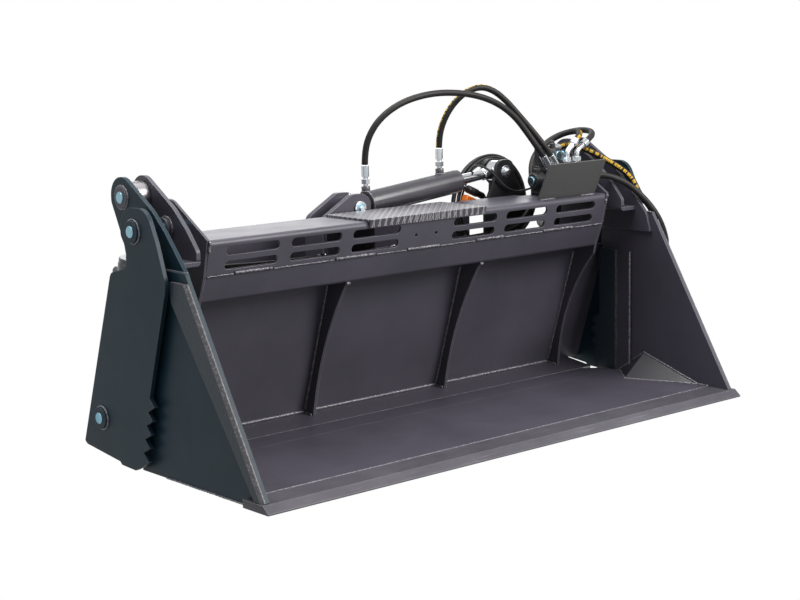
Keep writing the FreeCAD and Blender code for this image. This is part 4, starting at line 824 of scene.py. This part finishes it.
def make_valve_details():
    """The valve's bolt heads and port plugs, and each solenoid coil's nut, terminal and fins."""
    for i, (x, z) in enumerate(((612, 650), (762, 650), (612, 704), (762, 704))):
        turned(f"valve_bolt_{i}", [(5.5, 0), (6, 0.4), (6, 5.6), (5, 6.4)], (x, 512, z), FORWARD, "bright",
               "frame")
    for i, x in enumerate((735, 712)):
        turned(f"valve_plug_{i}", [(10, 0), (10.5, 0.5), (10.5, 6), (9.5, 7)], (x, 512, 672), FORWARD, "zinc",
               "frame", flats=6)
    coils = {
        "side": (Vector((-1, 0, 0)), (555.2, 548, 682), (578, 548, 706), Vector((598, 548, 682))),
        "front": (Vector(FORWARD), (681, 557.2, 756), (681, 580, 780), Vector((681, 600, 756))),
    }
    for name, (axis, end, _, _) in coils.items():
        turned(f"coil_nut_{name}", COIL_NUT, end, axis, "zinc", "frame")
    for name, (axis, _, plug, fins) in coils.items():
        turned(f"coil_terminal_{name}", [(9, 0), (10, 1), (10, 12), (7, 15), (7, 20), (5, 22)], plug,
               (0, 0, 1), "plastic", "frame", "plug_plastic")
        for k in range(5):
            turned(f"coil_rib_{name}_{k}", [(24.2, 0), (24.9, 0.6), (24.9, 3.4), (24.2, 4)],
                   fins + axis * (8.5 * k), axis, "black", "frame", "valve_black")


def band(name, route, along, length, radius, material, flats=0):
    """A ferrule, tape or clamp round a hose, from a distance along its line."""
    line = resampled(spline_line([at(*p) for p in ROUTES[route]]), 0.001)
    travelled = 0.0
    points = []
    for a, b in zip(line, line[1:]):
        step = (b - a).length
        if along <= travelled <= along + length:
            points.append(a)
        travelled += step
    mesh = tube_mesh(name, resampled(points, 0.004), radius, sides=flats or 20)
    new_piece(name, mesh, material, "frame", smooth=not flats)


def make_hose_bands():
    """Joints, tape and ties on the hoses inside the beam, which show through its slots."""
    band("beam_joint_a", "clam_hose_left_a", 1.28, 0.045, 0.0128, "bright")
    band("beam_joint_nut", "clam_hose_left_a", 1.33, 0.016, 0.0142, "bright", flats=6)
    band("beam_joint_b", "clam_hose_left_a", 1.02, 0.045, 0.0128, "bright")
    band("beam_tape", "clam_hose_left_b", 1.36, 0.034, 0.0112, "tape")
    band("beam_tie_a", "clam_hose_left_b", 0.95, 0.006, 0.0116, "plastic")


# ---------------------------------------------------------------- stage


def make_stage():
    """White surroundings for the camera, a low even light for everything else, and four soft lamps."""
    world = bpy.data.worlds.new("studio")
    bpy.context.scene.world = world
    world.use_nodes = True
    tree = world.node_tree
    seen = tree.nodes["Background"]
    seen.inputs["Color"].default_value = (1.0, 1.0, 1.0, 1.0)
    seen.inputs["Strength"].default_value = 1.0
    ambient = tree.nodes.new("ShaderNodeBackground")
    ambient.inputs["Color"].default_value = (0.97, 0.99, 1.0, 1.0)
    rays = tree.nodes.new("ShaderNodeLightPath")
    gloss = tree.nodes.new("ShaderNodeMath")
    gloss.operation = "MULTIPLY_ADD"
    gloss.inputs[1].default_value = 0.36
    gloss.inputs[2].default_value = 0.34
    tree.links.new(rays.outputs["Is Glossy Ray"], gloss.inputs[0])
    tree.links.new(gloss.outputs[0], ambient.inputs["Strength"])
    choice = tree.nodes.new("ShaderNodeMixShader")
    tree.links.new(rays.outputs["Is Camera Ray"], choice.inputs[0])
    tree.links.new(ambient.outputs[0], choice.inputs[1])
    tree.links.new(seen.outputs[0], choice.inputs[2])
    tree.links.new(choice.outputs[0], tree.nodes["World Output"].inputs["Surface"])
    lights = [
        ("key", (2.2, -4.8, 3.6), 3.0, 380.0, (1.0, 0.985, 0.97)),
        ("top", (-0.6, 0.2, 4.4), 3.5, 210.0, (1.0, 1.0, 1.0)),
        ("back", (3.2, 4.4, 2.2), 3.0, 48.0, (1.0, 1.0, 1.0)),
        ("left", (-4.5, 0.6, 2.6), 1.6, 9.0, (0.7, 0.9, 1.0)),
    ]
    for name, place, size, power, colour in lights:
        lamp = bpy.data.lights.new(name, "AREA")
        lamp.size = size
        lamp.energy = power
        lamp.color = colour
        holder = bpy.data.objects.new(name, lamp)
        holder.location = place
        holder.rotation_euler = (Vector((0, 0.1, 0.35)) - Vector(place)).to_track_quat("-Z", "Y").to_euler()
        bpy.context.scene.collection.objects.link(holder)


def make_camera():
    """The photographer's place, a little above the bucket's top and off its left front corner."""
    turn, lift, roll = math.radians(-40.80), math.radians(9.44), math.radians(-1.11)
    back = Vector((math.sin(turn) * math.cos(lift), -math.cos(turn) * math.cos(lift), math.sin(lift)))
    right = Vector((math.cos(turn), math.sin(turn), 0.0))
    up = back.cross(right)
    right, up = right * math.cos(roll) + up * math.sin(roll), up * math.cos(roll) - right * math.sin(roll)
    lens = bpy.data.cameras.new("camera")
    lens.sensor_width = 36.0
    lens.lens = 75.716
    holder = bpy.data.objects.new("camera", lens)
    rotation = Matrix((right, up, back)).transposed().to_4x4()
    holder.matrix_world = Matrix.Translation((-3.2868, -3.7886, 1.1978)) @ rotation
    bpy.context.scene.collection.objects.link(holder)
    bpy.context.scene.camera = holder


bpy.context.scene.view_settings.view_transform = "Standard"
make_camera()
make_stage()
make_hoses()
make_cable()
make_welds()
make_tilt_details()
make_valve_details()
make_hose_bands()
